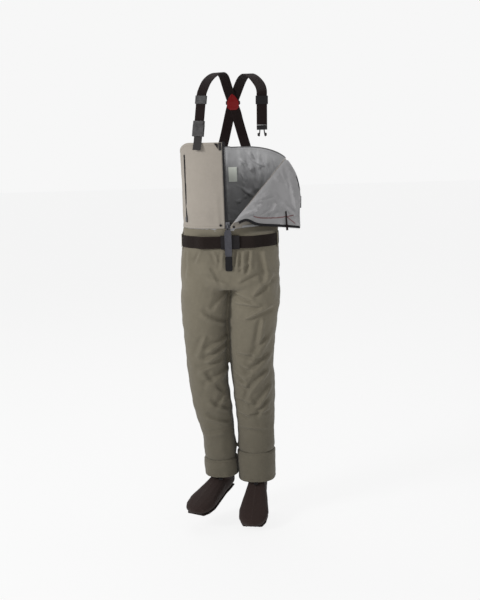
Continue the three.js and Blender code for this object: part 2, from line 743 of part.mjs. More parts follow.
// Upper end of the left hand pocket zip, on the outer face of the folded panel.
const pocketZipWidth = 10;
const pocketFoldShare = 0.69;
function flapPocketZip() {
  const foot = foldLength * pocketFoldShare;
  const at = (along, across) => [
    along * zipEdgeSin - across * zipEdgeCos,
    foot + along * zipEdgeCos + across * zipEdgeSin,
  ];
  const half = pocketZipWidth / 2;
  const shape = new THREE.Shape();
  shape.moveTo(...at(26, -half));
  for (const corner of [[82, -half], [82, half], [26, half]]) shape.lineTo(...at(...corner));
  const strip = extruded(shape, zipTapeThickness);
  strip.translate(0, 0, -zipTapeThickness);
  return strip;
}
addPiece("pocket_zip_flap", flapPocketZip(), "zipTape", flap);

// Short hanging tab on the lining side, straight down across the free zip edge.
function hangingTab() {
  const down = up.clone().negate();
  const downUV = [down.dot(openAway), down.dot(foldDirection)];
  const size = Math.hypot(...downUV);
  const dir = [downUV[0] / size, downUV[1] / size];
  const top = onZipEdge(flapZipLength * 0.79, 54);
  const at = (along, across) => [top[0] + dir[0] * along - dir[1] * across, top[1] + dir[1] * along + dir[0] * across];
  const shape = new THREE.Shape();
  const outline = [[0, -3], [50, -3], [50, -4.5], [72, -4.5], [72, 4.5], [50, 4.5], [50, 3], [0, 3]];
  shape.moveTo(...at(...outline[0]));
  for (const [along, across] of outline.slice(1)) shape.lineTo(...at(along, across));
  const tab = extruded(shape, 2);
  tab.translate(0, 0, gap + flapThickness + gap + 0.2);
  return tab;
}
addPiece("flap_hanging_tab", hangingTab(), "webbing", flap);

// Hand pocket zips: a strip down each side of the front, each with its own slider near the foot.
const pocketLow = waistSeamHeight + 22;
const pocketRightTurn = 1 - 0.158;
const pocketRightHigh = bibHemHeight - 44;
const pocketLeftHigh = 1286;
const pocketLeftFromSide = 34;
const pocketPoints = {
  right: (height, across, out) => torsoPoint(pocketRightTurn + across / 1230, height, -out),
  left: (height, across, out) => {
    const { run, pointAt } = leftPanelRow(height);
    return pointAt(run - pocketLeftFromSide + across, -out);
  },
};
const pocketSliderSize = [7, 16, 3.4];
for (const [side, high, rows] of [["right", pocketRightHigh, 4], ["left", pocketLeftHigh, 7]]) {
  const pointAt = pocketPoints[side];
  const half = pocketZipWidth / 2;
  const seat = gap + 0.2;
  const grid = (out) =>
    steps(pocketLow, high, rows).map((height) => steps(-half, half, 2).map((across) => pointAt(height, across, out)));
  addPiece(`pocket_zip_${side}`, sheetSolid(grid(seat + zipTapeThickness), grid(seat)), "zipTape");
  const foot = pointAt(pocketLow, 0, 0);
  const line = pointAt(high, 0, 0).sub(foot).normalize();
  const across = pointAt(pocketLow, half, 0).sub(pointAt(pocketLow, -half, 0));
  across.addScaledVector(line, -across.dot(line)).normalize();
  const out = across.clone().cross(line).normalize();
  const box = new THREE.BoxGeometry(...pocketSliderSize);
  box.applyMatrix4(new THREE.Matrix4().makeBasis(across, line, out));
  const lift = seat + zipTapeThickness + gap + pocketSliderSize[2] / 2;
  const place = pointAt(pocketLow + 10, 0, 0).addScaledVector(out, lift);
  box.translate(place.x, place.y, place.z);
  addPiece(`pocket_slider_${side}`, box, "sliderMetal");
}

// Belt: webbing around the waist, straight across the front where it runs through the buckle.
const beltY = -(atHeight(torsoStations, beltHeight)[2] + gap * 2 + 0.7 + (buckleThickness - beltThickness) / 2);
const beltFlatHalf = 88;
function beltPoint(turn, height, out) {
  const point = torsoPoint(turn, height, -(gap + out));
  const straight = 1 - smooth((Math.abs(point.x) - beltFlatHalf) / 40);
  if (point.y < 0) point.y += (beltY - out - point.y) * straight;
  return point;
}
const socketX = 17; // mouth of the belt buckle's socket
const beltStartX = socketX - beltSocketLength + 6;
const beltEndX = socketX + gap + 6;
function beltWebbing() {
  const endTurn = turnAtX(beltEndX, beltHeight);
  const startTurn = 1 + turnAtX(beltStartX, beltHeight);
  const grid = (out) =>
    [beltLow, beltHigh].map((height) =>
      steps(endTurn, startTurn, 56).map((turn) => beltPoint(turn % 1, height, out))
    );
  return sheetSolid(grid(beltThickness), grid(0));
}
addPiece("belt_webbing", beltWebbing(), "webbing");

// Side-release buckles. Their own axes: x from the socket to the insert, y across, z out.
// The webbing lies towards the back of a buckle, behind the sprung arms.
const webOffset = (webThickness) => webThickness / 2 + gap + buckleWall - buckleThickness / 2;
function buckleSocket(length, width, webWidth, webThickness) {
  const half = width / 2;
  const thick = buckleThickness / 2;
  const cavity = prongLength + 3;
  const webSlot = length - cavity - 5;
  const body = toManifold(placedBox(-length, 0, -half, half, -thick, thick));
  const mouth = placedBox(-cavity, 1, -half + buckleWall, half - buckleWall, -thick + buckleWall, thick - buckleWall);
  const windows = placedBox(-cavity + 4, -9, -half - 1, half + 1, -thick + buckleWall, thick - buckleWall);
  const slotHalf = webWidth / 2 + gap;
  const middle = webOffset(webThickness);
  const slotDepth = webThickness / 2 + gap;
  const slot = placedBox(-length - 1, -length + webSlot, -slotHalf, slotHalf, middle - slotDepth, middle + slotDepth);
  return body.subtract(toManifold(mouth)).subtract(toManifold(windows)).subtract(toManifold(slot));
}

function tunnelFrame(length, width, thickness, webWidth, webThickness, middle = 0) {
  const frame = roundedRectangle(width, thickness, Math.min(2, thickness / 3));
  const hole = new THREE.Path();
  const w = webWidth / 2 + slideClearance;
  const t = webThickness / 2 + slideClearance;
  hole.moveTo(-w, middle - t);
  hole.lineTo(-w, middle + t);
  hole.lineTo(w, middle + t);
  hole.lineTo(w, middle - t);
  hole.lineTo(-w, middle - t);
  frame.holes.push(hole);
  const solid = extruded(frame, length);
  solid.applyMatrix4(new THREE.Matrix4().makeBasis(
    new THREE.Vector3(0, 1, 0),
    new THREE.Vector3(0, 0, 1),
    new THREE.Vector3(1, 0, 0)
  ));
  return solid;
}

// One sprung arm of an insert; side is 1 or -1 across the buckle.
function buckleProng(width, side, webThickness) {
  const outer = width / 2 - buckleWall - gap;
  const root = outer - 9;
  const points = [
    [-gap, root - 2],
    [-gap, root + 2],
    [-prongLength * 0.42, root + 3],
    [-prongLength * 0.5, outer],
    [-prongLength * 0.86, outer],
    [-prongLength, outer - 5],
    [-prongLength + 1, outer - 8],
    [-prongLength * 0.4, root - 1],
  ];
  const shape = new THREE.Shape();
  const ordered = side > 0 ? points : [...points].reverse();
  shape.moveTo(ordered[0][0], side * ordered[0][1]);
  for (const [x, y] of ordered.slice(1)) shape.lineTo(x, side * y);
  const back = webOffset(webThickness) + webThickness / 2 + gap;
  const arm = extruded(shape, buckleThickness / 2 - buckleWall - gap - back);
  arm.translate(0, 0, back);
  return arm;
}

// Belt buckle: the socket is on the wearer's right, the insert on the left.
const beltBuckle = new THREE.Group();
beltBuckle.position.set(socketX, beltY - beltThickness / 2 + webOffset(beltThickness), beltHeight);
beltBuckle.rotation.x = Math.PI / 2;
waders.add(beltBuckle);
const beltSocket = buckleSocket(beltSocketLength, beltBuckleHeight, beltWidth, beltThickness);
addPiece("belt_socket", fromManifold(beltSocket), "buckle", beltBuckle);
const beltWebMiddle = webOffset(beltThickness);
const beltInsert = tunnelFrame(beltInsertLength, beltBuckleHeight, buckleThickness, beltWidth, beltThickness, beltWebMiddle);
addPiece("belt_insert", beltInsert, "buckle", beltBuckle).position.x = gap;
for (const [name, side] of [["upper", 1], ["lower", -1]]) {
  addPiece(`belt_prong_${name}`, buckleProng(beltBuckleHeight, side, beltThickness), "buckle", beltBuckle);
}

// Belt loops: bridges over the webbing, closed by the garment behind them.
function beltLoop(turn, standOff) {
  const half = 0.0065;
  const clear = gap * 3 + beltThickness + 0.6;
  const loopWall = 1.6;
  const seat = gap + standOff;
  const reach = 7;
  const rise = 4;
  const heights = [beltLow - rise - reach, beltLow - rise, beltLow - 1.5, beltHigh + 1.5, beltHigh + rise, beltHigh + rise + reach];
  const outs = [seat, seat, clear, clear, seat, seat];
  const grid = (extra) =>
    heights.map((height, i) =>
      steps(turn - half, turn + half, 2).map((t) => trouserPoint((t + 1) % 1, height, -(outs[i] + extra)))
    );
  return sheetSolid(grid(loopWall), grid(0));
}
for (const [name, turn, standOff] of [["right", 0.79, 0.4], ["left", 0.21, 0.8], ["back", 0.5, 0.6]]) {
  addPiece(`belt_loop_${name}`, beltLoop(turn, standOff), "trouserFabric");
}

// Webbing along a path: each station is a point and the way its face looks.
function webbingStrip(stations, width, thickness, count) {
  const centre = new THREE.CatmullRomCurve3(stations.map((s) => new THREE.Vector3(...s[0])), false, "centripetal");
  const faces = stations.map((s) => new THREE.Vector3(...s[1]).normalize());
  const outer = [];
  const inner = [];
  for (let i = 0; i <= count; i++) {
    const t = i / count;
    const point = centre.getPoint(t);
    const tangent = centre.getTangent(t);
    const place = t * (stations.length - 1);
    const k = Math.min(stations.length - 2, Math.floor(place));
    const face = faces[k].clone().lerp(faces[k + 1], place - k);
    face.addScaledVector(tangent, -face.dot(tangent)).normalize();
    const side = tangent.clone().cross(face).normalize().multiplyScalar(width / 2);
    const out = face.multiplyScalar(thickness / 2);
    outer.push([point.clone().sub(side).add(out), point.clone().add(side).add(out)]);
    inner.push([point.clone().sub(side).sub(out), point.clone().add(side).sub(out)]);
  }
  return sheetSolid(outer, inner);
}

// Straight front run of the right suspender: tab, buckle and adjuster lie along it.
const rightFoot = new THREE.Vector3(-96, -128, 1428);
const rightRun = new THREE.Vector3(18, 27, 172);
const rightDirection = rightRun.clone().normalize();
const rightFace = new THREE.Vector3(-0.31, -0.95, 0.18);
rightFace.addScaledVector(rightDirection, -rightFace.dot(rightDirection)).normalize();
const rightAt = (distance) => rightFoot.clone().addScaledVector(rightDirection, distance);
const leftFoot = new THREE.Vector3(139, -113, 1484);
const leftRun = new THREE.Vector3(2, 10, 112);
const leftDirection = leftRun.clone().normalize();
const leftFace = new THREE.Vector3(0.08, -0.99, 0.09);
leftFace.addScaledVector(leftDirection, -leftFace.dot(leftDirection)).normalize();
const leftAt = (distance) => leftFoot.clone().addScaledVector(leftDirection, distance);

function buckleFrame(origin, direction, face) {
  const group = new THREE.Group();
  const across = face.clone().cross(direction).normalize();
  group.quaternion.setFromRotationMatrix(new THREE.Matrix4().makeBasis(direction, across, face));
  group.position.copy(origin);
  waders.add(group);
  return group;
}

const rightMouth = 64; // distance along the run to the socket's mouth
// Curve of the upper back the suspenders lie on above the hem: height and distance back.
const backCurve = [[1640, 77], [1620, 94.5], [1600, 107.5], [1568, 121], [1530, 130.5], [1489, 136], [1440, 139.5]];
const curveBack = (height) => atHeight([...backCurve].reverse(), height)[0];
function onUpperBack(x, height, out) {
  const slope = (curveBack(height + 16) - curveBack(height - 16)) / 32;
  const face = new THREE.Vector3(0, 1, -slope).normalize();
  const point = new THREE.Vector3(x, curveBack(height), height).addScaledVector(face, out);
  return [point.toArray(), face.toArray()];
}

// Below the hem the suspenders lie against the back panel.
function onBackPanel(x, height) {
  const turn = 0.5 - turnAtX(x, height);
  const out = -(strapThickness / 2 + gap + 0.7);
  const along = torsoPoint(turn - 0.02, height).sub(torsoPoint(turn + 0.02, height));
  const rise = torsoPoint(turn, height + 15).sub(torsoPoint(turn, height - 15));
  const face = rise.cross(along).normalize();
  if (face.y < 0) face.negate();
  return [torsoPoint(turn, height, out).toArray(), face.toArray()];
}
const crossOut = strapThickness / 2 + 0.6;
const rightStations = [
  [rightAt(rightMouth + gap + 5).toArray(), rightFace.toArray()],
  [rightAt(105).toArray(), rightFace.toArray()],
  [rightAt(140).toArray(), rightFace.toArray()],
  [rightAt(172).toArray(), rightFace.toArray()],
  [[-72, -92, 1618], [-0.22, -0.85, 0.45]],
  [[-60, -64, 1646], [-0.1, -0.6, 0.8]],
  [[-41, -26, 1667], [0, -0.25, 0.97]],
  [[-22, 15, 1675.9], [0, 0.1, 1]],
  [[-9, 49, 1664], [0, 0.5, 0.87]],
  onUpperBack(-2, 1636, -crossOut),
  onUpperBack(3, 1612, -crossOut),
  onUpperBack(15, 1568, -crossOut),
  onUpperBack(27, 1530, -crossOut),
  onUpperBack(36, 1489, -crossOut),
  onBackPanel(49, 1435),
  onBackPanel(60, 1395),
  onBackPanel(72, 1352),
];
addPiece("suspender_right", webbingStrip(rightStations, strapWidth, strapThickness, 48), "webbing");
const leftStations = [
  [leftAt(0).toArray(), leftFace.toArray()],
  [leftAt(38).toArray(), leftFace.toArray()],
  [leftAt(72).toArray(), leftFace.toArray()],
  [leftAt(92).toArray(), leftFace.toArray()],
  [leftAt(108).toArray(), leftFace.toArray()],
  [leftAt(120).toArray(), leftFace.toArray()],
  [[137, -86, 1620], [0.05, -0.85, 0.5]],
  [[127, -66, 1636], [0, -0.65, 0.76]],
  [[108, -36, 1656], [0, -0.35, 0.94]],
  [[86, 2, 1668], [0, 0, 1]],
  [[67, 42, 1657], [0, 0.45, 0.89]],
  [[54, 70, 1641], [0, 0.6, 0.8]],
  onUpperBack(40, 1614, crossOut),
  onUpperBack(19, 1568, crossOut),
  onUpperBack(6, 1530, crossOut),
  onUpperBack(-5, 1489, crossOut),
  onBackPanel(-19, 1435),
  onBackPanel(-30, 1395),
  onBackPanel(-42, 1352),
];
addPiece("suspender_left", webbingStrip(leftStations, strapWidth, strapThickness, 48), "webbing");

// Yoke where the suspenders cross: a red shield in front and a dark keeper bar behind.
const yokeThickness = 1.6;
function yokePlate(widths, out) {
  const grid = (shift) =>
    widths.map(([height, width]) =>
      steps(-width / 2, width / 2, 4).map((x) => new THREE.Vector3(...onUpperBack(17 + x, height, out + shift)[0]))
    );
  return sheetSolid(grid(yokeThickness), grid(0));
}
const strapStack = crossOut + strapThickness / 2 + gap;
const shieldWidths = [[1598, 3], [1589, 21], [1577, 37], [1565, 46], [1553, 47], [1543, 40], [1536, 22]];
addPiece("yoke_patch", yokePlate(shieldWidths, -strapStack - yokeThickness - 0.45), "yokeRed");
const keeperWidths = [[1571, 42], [1566, 55], [1561, 55], [1556, 55], [1551, 42]];
addPiece("yoke_keeper", yokePlate(keeperWidths, strapStack + 0.75), "buckle");

// Strap adjusters slide along the straight front runs.
const adjusterWidth = strapWidth + 2 * (slideClearance + 2.6);
function adjuster(name, at, direction, face) {
  const frame = tunnelFrame(adjusterLength, adjusterWidth, adjusterThickness, strapWidth, strapThickness);
  addPiece(name, frame, "buckle", buckleFrame(at, direction, face));
}
const rightAdjusterAt = 140;
const leftAdjusterAt = 74;
adjuster("adjuster_right", rightAt(rightAdjusterAt), rightDirection, rightFace);
adjuster("adjuster_left", leftAt(leftAdjusterAt), leftDirection, leftFace);

// Right suspender buckle: socket on a sewn tab, insert on the strap.
const strapBuckleWidth = strapWidth + 2 * (slideClearance + 2);
const strapWebMiddle = webOffset(strapThickness);
const rightBuckleAt = rightAt(rightMouth).addScaledVector(rightFace, -strapWebMiddle);
const rightBuckle = buckleFrame(rightBuckleAt, rightDirection, rightFace);
const strapSocket = buckleSocket(strapSocketLength, strapBuckleWidth, sewnTabWidth, strapThickness);
addPiece("strap_socket_right", fromManifold(strapSocket), "buckle", rightBuckle);
const strapInsert = tunnelFrame(strapInsertLength, strapBuckleWidth, buckleThickness, strapWidth, strapThickness, strapWebMiddle);
addPiece("strap_insert_right", strapInsert, "buckle", rightBuckle).position.x = gap;
for (const [name, side] of [["inner", 1], ["outer", -1]]) {
  addPiece(`strap_prong_right_${name}`, buckleProng(strapBuckleWidth, side, strapThickness), "buckle", rightBuckle);
}
const tabStations = [-28, -12, 4, rightMouth - strapSocketLength + 6].map((distance) => {
  const point = rightAt(distance);
  const sewn = distance < 0 ? distance * 0.12 : 0;
  return [point.addScaledVector(rightFace, -sewn * 1.5 + 0.4).toArray(), rightFace.toArray()];
});
tabStations[tabStations.length - 1][0] = rightAt(rightMouth - strapSocketLength + 6).toArray();
addPiece("strap_tab_right", webbingStrip(tabStations, sewnTabWidth, strapThickness, 8), "greyWebbing");

// Loose plug at the end of the left suspender: rounded where it hangs from the sewn end.
const plugAxis = buckleThickness / 2 + 0.6;
const plugBodyLength = 12;
const plugWidth = strapBuckleWidth - 6;
function plugBody() {
  const shape = new THREE.Shape();
  const r = buckleThickness / 2;
  shape.moveTo(-plugBodyLength, -r);
  shape.lineTo(0, -r);
  shape.absarc(0, 0, r, -Math.PI / 2, Math.PI / 2);
  shape.lineTo(-plugBodyLength, r);
  const body = extruded(shape, plugWidth);
  body.translate(0, 0, -plugWidth / 2);
  body.rotateX(-Math.PI / 2);
  return body;
}
const plugDown = new THREE.Vector3(0, 0, 1);
const plugFace = new THREE.Vector3(0, -1, 0);
const leftPlug = buckleFrame(leftAt(-plugAxis), plugDown, plugFace);
addPiece("strap_plug_left", plugBody(), "buckle", leftPlug);
for (const [name, side] of [["inner", 1], ["outer", -1]]) {
  const prong = addPiece(`strap_prong_left_${name}`, buckleProng(plugWidth, side, strapThickness), "buckle", leftPlug);
  prong.position.x = -plugBodyLength;
}

// Socket of the left suspender: its tab is sewn under the hem of the opened panel and hangs back from it.
const flapSocketShare = 0.34;
function flapSocketPieces() {
  const [u, v] = hemPoint(flapSocketShare);
  const [nextU, nextV] = hemPoint(flapSocketShare + 0.02);
  const along = new THREE.Vector3(nextU - u, nextV - v, 0).normalize();
  const outward = new THREE.Vector3(along.y, -along.x, 0);
  if (outward.x < 0) outward.negate();
  const station = (out, back, faceOut, faceBack) => {
    const face = outward.clone().multiplyScalar(faceOut).setZ(-faceBack).normalize();
    return [new THREE.Vector3(u, v, 0).addScaledVector(outward, out).setZ(-back).toArray(), face.toArray()];
  };
  const under = strapThickness / 2 + 0.3;
  const hang = new THREE.Vector2(0.25, 0.97).normalize();
  const bendOut = 9;
  const bendBack = 9;
  const end = 16;
  const stations = [
    station(-22, under, 0, 1),
    station(-8, under, 0, 1),
    station(1, under + 0.6, 0.2, 1),
    station(7, under + 3.6, 1, 0.7),
    station(bendOut, bendBack, hang.y, hang.x * -1),
    station(bendOut + hang.x * end, bendBack + hang.y * end, hang.y, hang.x * -1),
  ];
  addPiece("flap_socket_tab", webbingStrip(stations, sewnTabWidth, strapThickness, 12), "greyWebbing", flap);
  const back = outward.clone().multiplyScalar(hang.x).setZ(-hang.y);
  const face = outward.clone().multiplyScalar(hang.y).setZ(hang.x);
  const group = new THREE.Group();
  group.quaternion.setFromRotationMatrix(new THREE.Matrix4().makeBasis(back, face.clone().cross(back), face));
  group.position.set(u, v, 0).addScaledVector(outward, bendOut + hang.x * end).setZ(-bendBack - hang.y * end);
  flap.add(group);
  const socket = fromManifold(buckleSocket(strapSocketLength, strapBuckleWidth, sewnTabWidth, strapThickness));
  socket.translate(strapSocketLength - 6, 0, -strapWebMiddle);
  addPiece("flap_socket", socket, "buckle", group);
}
flapSocketPieces();

// Small trim on the front: accessory loop and triangle at the hem, snaps, and the care label inside.
const trimY = zipFrontAt(bibHemHeight - 12);
const trimThickness = 1.8;
const trimBack = trimY - gap - 0.2;
const loopGeometry = placedBox(-19.5, -9, trimBack - trimThickness, trimBack, 1398, 1426);
addPiece("accessory_loop", loopGeometry, "greyWebbing");
function accessoryTriangle() {
  const shape = new THREE.Shape();
  shape.moveTo(-36, 1424);
  shape.lineTo(-23, 1404);
  shape.lineTo(-21, 1422);
  const solid = extruded(shape, trimThickness);
  solid.rotateX(Math.PI / 2);
  solid.translate(0, trimBack + 0.3, 0);
  return solid;
}
addPiece("accessory_triangle", accessoryTriangle(), "buckle");

function snap(name, x, y, z, faceX, faceY) {
  const disc = new THREE.CylinderGeometry(snapRadius, snapRadius, 2.4, 14);
  const face = new THREE.Vector3(faceX, faceY, 0).normalize();
  disc.applyQuaternion(new THREE.Quaternion().setFromUnitVectors(new THREE.Vector3(0, 1, 0), face));
  disc.translate(x + face.x * 1.5, y + face.y * 1.5, z);
  addPiece(name, disc, "buckle");
}
const snapHeight = waistSeamHeight + 12;
const snapFront = torsoPoint(1 + turnAtX(-23, snapHeight), snapHeight);
snap("snap_right", snapFront.x, snapFront.y - 0.1, snapHeight, 0.02, -1);
snap("snap_left", 25, -125.4, waistSeamHeight + 5, 0.55, -0.83);

const labelHeight = 57;
const labelWidth = 33;
const labelMiddle = 1290;
const labelY = atHeight(torsoStations, labelMiddle - labelHeight / 2)[3] - fabricWall - gap * 2;
const labelBox = placedBox(7 - labelWidth / 2, 7 + labelWidth / 2, labelY - 0.8, labelY - 0.2, labelMiddle - labelHeight / 2, labelMiddle + labelHeight / 2);
addPiece("care_label", labelBox, "label");

export default waders;
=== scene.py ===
import math

import bmesh
import bpy
import numpy as np
from mathutils import Matrix, Quaternion, Vector, noise
from mathutils.bvhtree import BVHTree


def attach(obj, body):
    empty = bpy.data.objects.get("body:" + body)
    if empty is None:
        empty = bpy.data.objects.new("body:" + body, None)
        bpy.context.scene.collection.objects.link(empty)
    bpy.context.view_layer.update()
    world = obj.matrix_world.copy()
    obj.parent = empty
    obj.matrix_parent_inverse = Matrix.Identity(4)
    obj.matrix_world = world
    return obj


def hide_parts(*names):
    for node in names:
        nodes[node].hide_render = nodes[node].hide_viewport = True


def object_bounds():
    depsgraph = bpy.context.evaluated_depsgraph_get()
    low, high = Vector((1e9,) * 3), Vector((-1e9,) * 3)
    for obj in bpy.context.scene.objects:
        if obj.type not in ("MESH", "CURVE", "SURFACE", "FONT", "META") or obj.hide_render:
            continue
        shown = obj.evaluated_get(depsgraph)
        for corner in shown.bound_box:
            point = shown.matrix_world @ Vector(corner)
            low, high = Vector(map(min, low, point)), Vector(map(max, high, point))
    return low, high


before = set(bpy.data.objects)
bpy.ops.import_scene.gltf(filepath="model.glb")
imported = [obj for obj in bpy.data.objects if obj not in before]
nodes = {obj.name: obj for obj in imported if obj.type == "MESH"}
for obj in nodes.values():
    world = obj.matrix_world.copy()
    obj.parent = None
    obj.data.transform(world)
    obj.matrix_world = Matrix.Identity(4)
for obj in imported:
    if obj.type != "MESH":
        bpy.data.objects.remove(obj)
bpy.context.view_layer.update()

print("chest waders: frame loaded")

# Sizes below are millimetres, and heights are measured up from the toes.
# The row frame has its origin where the suspenders rest on the shoulders.
shoulderHeight = 1677


def toRow(points):
    points = np.array(points, dtype=float)
    points[..., 2] -= shoulderHeight
    return points / 1000


def smoothStep(t):
    t = np.clip(t, 0, 1)
    return t * t * (3 - 2 * t)


def linear(red, green, blue):
    shares = [v / 255 for v in (red, green, blue)]
    return tuple(v / 12.92 if v < 11 / 255 else ((v + 0.055) / 1.055) ** 2.4 for v in shares) + (1,)


# camera
cameraSetup = {
    "distance": 4.429, "azimuth": 5, "elevation": 10.5, "aimHeight": 820,
    "roll": -2, "lens": 46.24, "shift": 0.0125,
}


def makeCamera(setup):
    azimuth, elevation = math.radians(setup["azimuth"]), math.radians(setup["elevation"])
    level = math.cos(elevation)
    away = Vector((math.sin(azimuth) * level, -math.cos(azimuth) * level, math.sin(elevation)))
    target = Vector(toRow([0, 0, setup["aimHeight"]]))
    data = bpy.data.cameras.new("studioCamera")
    data.sensor_fit = "VERTICAL"
    data.sensor_height = 24
    data.lens = setup["lens"]
    data.shift_x = setup["shift"]
    data.clip_end = 100
    camera = bpy.data.objects.new("studioCamera", data)
    camera.location = target + away * setup["distance"]
    camera.rotation_mode = "QUATERNION"
    turn = Quaternion((0, 0, 1), math.radians(setup["roll"]))
    camera.rotation_quaternion = (-away).to_track_quat("-Z", "Y") @ turn
    bpy.context.scene.collection.objects.link(camera)
    bpy.context.scene.camera = camera


makeCamera(cameraSetup)


# light and floor
studio = {
    "background": 0.93, "worldStrength": 0.4, "centreHeight": 800,
    "floorDrop": 0.012, "floorSize": 30, "floorTone": 0.07, "floorGlow": 0.85,
}
lamps = {
    "keyLight": {"at": (-3.6, -2.6, 2.2), "size": 1.3, "power": 150},
    "fillLight": {"at": (2.4, -3.8, 0.4), "size": 3.2, "power": 22},
    "topLight": {"at": (0.3, 0.6, 3.0), "size": 2.4, "power": 34},
    "backLight": {"at": (-1.0, 2.4, 2.6), "size": 2.6, "power": 26},
}


def makeStudio():
    scene = bpy.context.scene
    scene.view_settings.view_transform = "Standard"
    world = bpy.data.worlds.new("studioWorld")
    scene.world = world
    world.use_nodes = True
    tree = world.node_tree
    tree.nodes.clear()
    out = tree.nodes.new("ShaderNodeOutputWorld")
    seen = tree.nodes.new("ShaderNodeBackground")
    seen.inputs["Color"].default_value = (studio["background"],) * 3 + (1,)
    light = tree.nodes.new("ShaderNodeBackground")
    light.inputs["Color"].default_value = (1, 1, 1, 1)
    light.inputs["Strength"].default_value = studio["worldStrength"]
    mix = tree.nodes.new("ShaderNodeMixShader")
    path = tree.nodes.new("ShaderNodeLightPath")
    tree.links.new(path.outputs["Is Camera Ray"], mix.inputs[0])
    tree.links.new(light.outputs[0], mix.inputs[1])
    tree.links.new(seen.outputs[0], mix.inputs[2])
    tree.links.new(mix.outputs[0], out.inputs["Surface"])
    centre = Vector(toRow([0, 0, studio["centreHeight"]]))
    for name, lamp in lamps.items():
        data = bpy.data.lights.new(name, "AREA")
        data.size = lamp["size"]
        data.energy = lamp["power"]
        light = bpy.data.objects.new(name, data)
        light.location = centre + Vector(lamp["at"])
        light.rotation_mode = "QUATERNION"
        light.rotation_quaternion = (centre - light.location).to_track_quat("-Z", "Y")
        scene.collection.objects.link(light)


makeStudio()
print("camera and light ready")


# materials
def newGroup(name, inputs, outputs):
    tree = bpy.data.node_groups.new(name, "ShaderNodeTree")
    for kind, label, value in inputs:
        socket = tree.interface.new_socket(label, in_out="INPUT", socket_type=kind)
        if value is not None:
            socket.default_value = value
    for kind, label in outputs:
        tree.interface.new_socket(label, in_out="OUTPUT", socket_type=kind)
    return tree, tree.nodes.new("NodeGroupInput"), tree.nodes.new("NodeGroupOutput")


def mathNode(tree, operation, a, b=None, clamp=False):
    node = tree.nodes.new("ShaderNodeMath")
    node.operation = operation
    node.use_clamp = clamp
    for socket, value in zip(node.inputs, (a, b)):
        if value is None:
            continue
        if isinstance(value, (int, float)):
            socket.default_value = value
        else:
            tree.links.new(value, socket)
    return node.outputs[0]


def mixColour(tree, blend, factor, a, b):
    node = tree.nodes.new("ShaderNodeMix")
    node.data_type = "RGBA"
    node.blend_type = blend
    for socket, value in ((node.inputs[0], factor), (node.inputs[6], a), (node.inputs[7], b)):
        if isinstance(value, (int, float, tuple)):
            socket.default_value = value
        else:
            tree.links.new(value, socket)
    return node.outputs[2]


def noiseNode(tree, vector, scale, detail=3, roughness=0.55):
    node = tree.nodes.new("ShaderNodeTexNoise")
    node.inputs["Detail"].default_value = detail
    node.inputs["Roughness"].default_value = roughness
    tree.links.new(vector, node.inputs["Vector"])
    if isinstance(scale, (int, float)):
        node.inputs["Scale"].default_value = scale
    else:
        tree.links.new(scale, node.inputs["Scale"])
    return node.outputs["Fac"]


def rangeNode(tree, value, low, high, toLow, toHigh):
    node = tree.nodes.new("ShaderNodeMapRange")
    node.inputs["From Min"].default_value = low
    node.inputs["From Max"].default_value = high
    node.inputs["To Min"].default_value = toLow
    node.inputs["To Max"].default_value = toHigh
    tree.links.new(value, node.inputs["Value"])
    return node.outputs[0]


def wovenGroup():
    tree, given, result = newGroup(
        "wovenCloth",
        [("NodeSocketVector", "Vector", None), ("NodeSocketColor", "Colour", (0.5, 0.5, 0.5, 1)),
         ("NodeSocketFloat", "Threads", 900.0), ("NodeSocketFloat", "Mottle", 0.1), ("NodeSocketFloat", "Ribs", 0.0)],
        [("NodeSocketColor", "Colour"), ("NodeSocketFloat", "Height"), ("NodeSocketFloat", "Roughness")],
    )
    links = tree.links
    split = tree.nodes.new("ShaderNodeSeparateXYZ")
    links.new(given.outputs["Vector"], split.inputs[0])
    x, y, z = split.outputs
    threads = given.outputs["Threads"]
    across = mathNode(tree, "ADD", x, mathNode(tree, "MULTIPLY", y, 0.83))
    warp = mathNode(tree, "SINE", mathNode(tree, "MULTIPLY", mathNode(tree, "MULTIPLY", across, threads), math.pi))
    weft = mathNode(tree, "SINE", mathNode(tree, "MULTIPLY", mathNode(tree, "MULTIPLY", z, threads), math.pi))
    crossing = mathNode(tree, "MULTIPLY", warp, weft)
    ribs = mathNode(tree, "MULTIPLY", mathNode(tree, "ABSOLUTE", warp), given.outputs["Ribs"])
    height = mathNode(tree, "ADD", mathNode(tree, "MULTIPLY", crossing, 0.5), ribs)
    fibre = noiseNode(tree, given.outputs["Vector"], mathNode(tree, "MULTIPLY", threads, 0.7), 2)
    height = mathNode(tree, "ADD", height, mathNode(tree, "MULTIPLY", fibre, 0.6))
    broad = noiseNode(tree, given.outputs["Vector"], 7, 4)
    close = noiseNode(tree, given.outputs["Vector"], 70, 3)
    tone = mathNode(tree, "ADD", mathNode(tree, "MULTIPLY", broad, 0.65), mathNode(tree, "MULTIPLY", close, 0.35))
    tone = mathNode(tree, "SUBTRACT", tone, 0.5)
    tone = mathNode(tree, "MULTIPLY", tone, mathNode(tree, "MULTIPLY", given.outputs["Mottle"], 4))
    tone = mathNode(tree, "ADD", tone, mathNode(tree, "MULTIPLY", crossing, 0.05))
    gain = mathNode(tree, "ADD", tone, 1)
    grey = tree.nodes.new("ShaderNodeCombineColor")
    for socket in grey.inputs[:3]:
        links.new(gain, socket)
    links.new(mixColour(tree, "MULTIPLY", 1.0, given.outputs["Colour"], grey.outputs[0]), result.inputs["Colour"])
    links.new(height, result.inputs["Height"])
    links.new(rangeNode(tree, broad, 0.3, 0.7, 0.78, 0.92), result.inputs["Roughness"])
    return tree


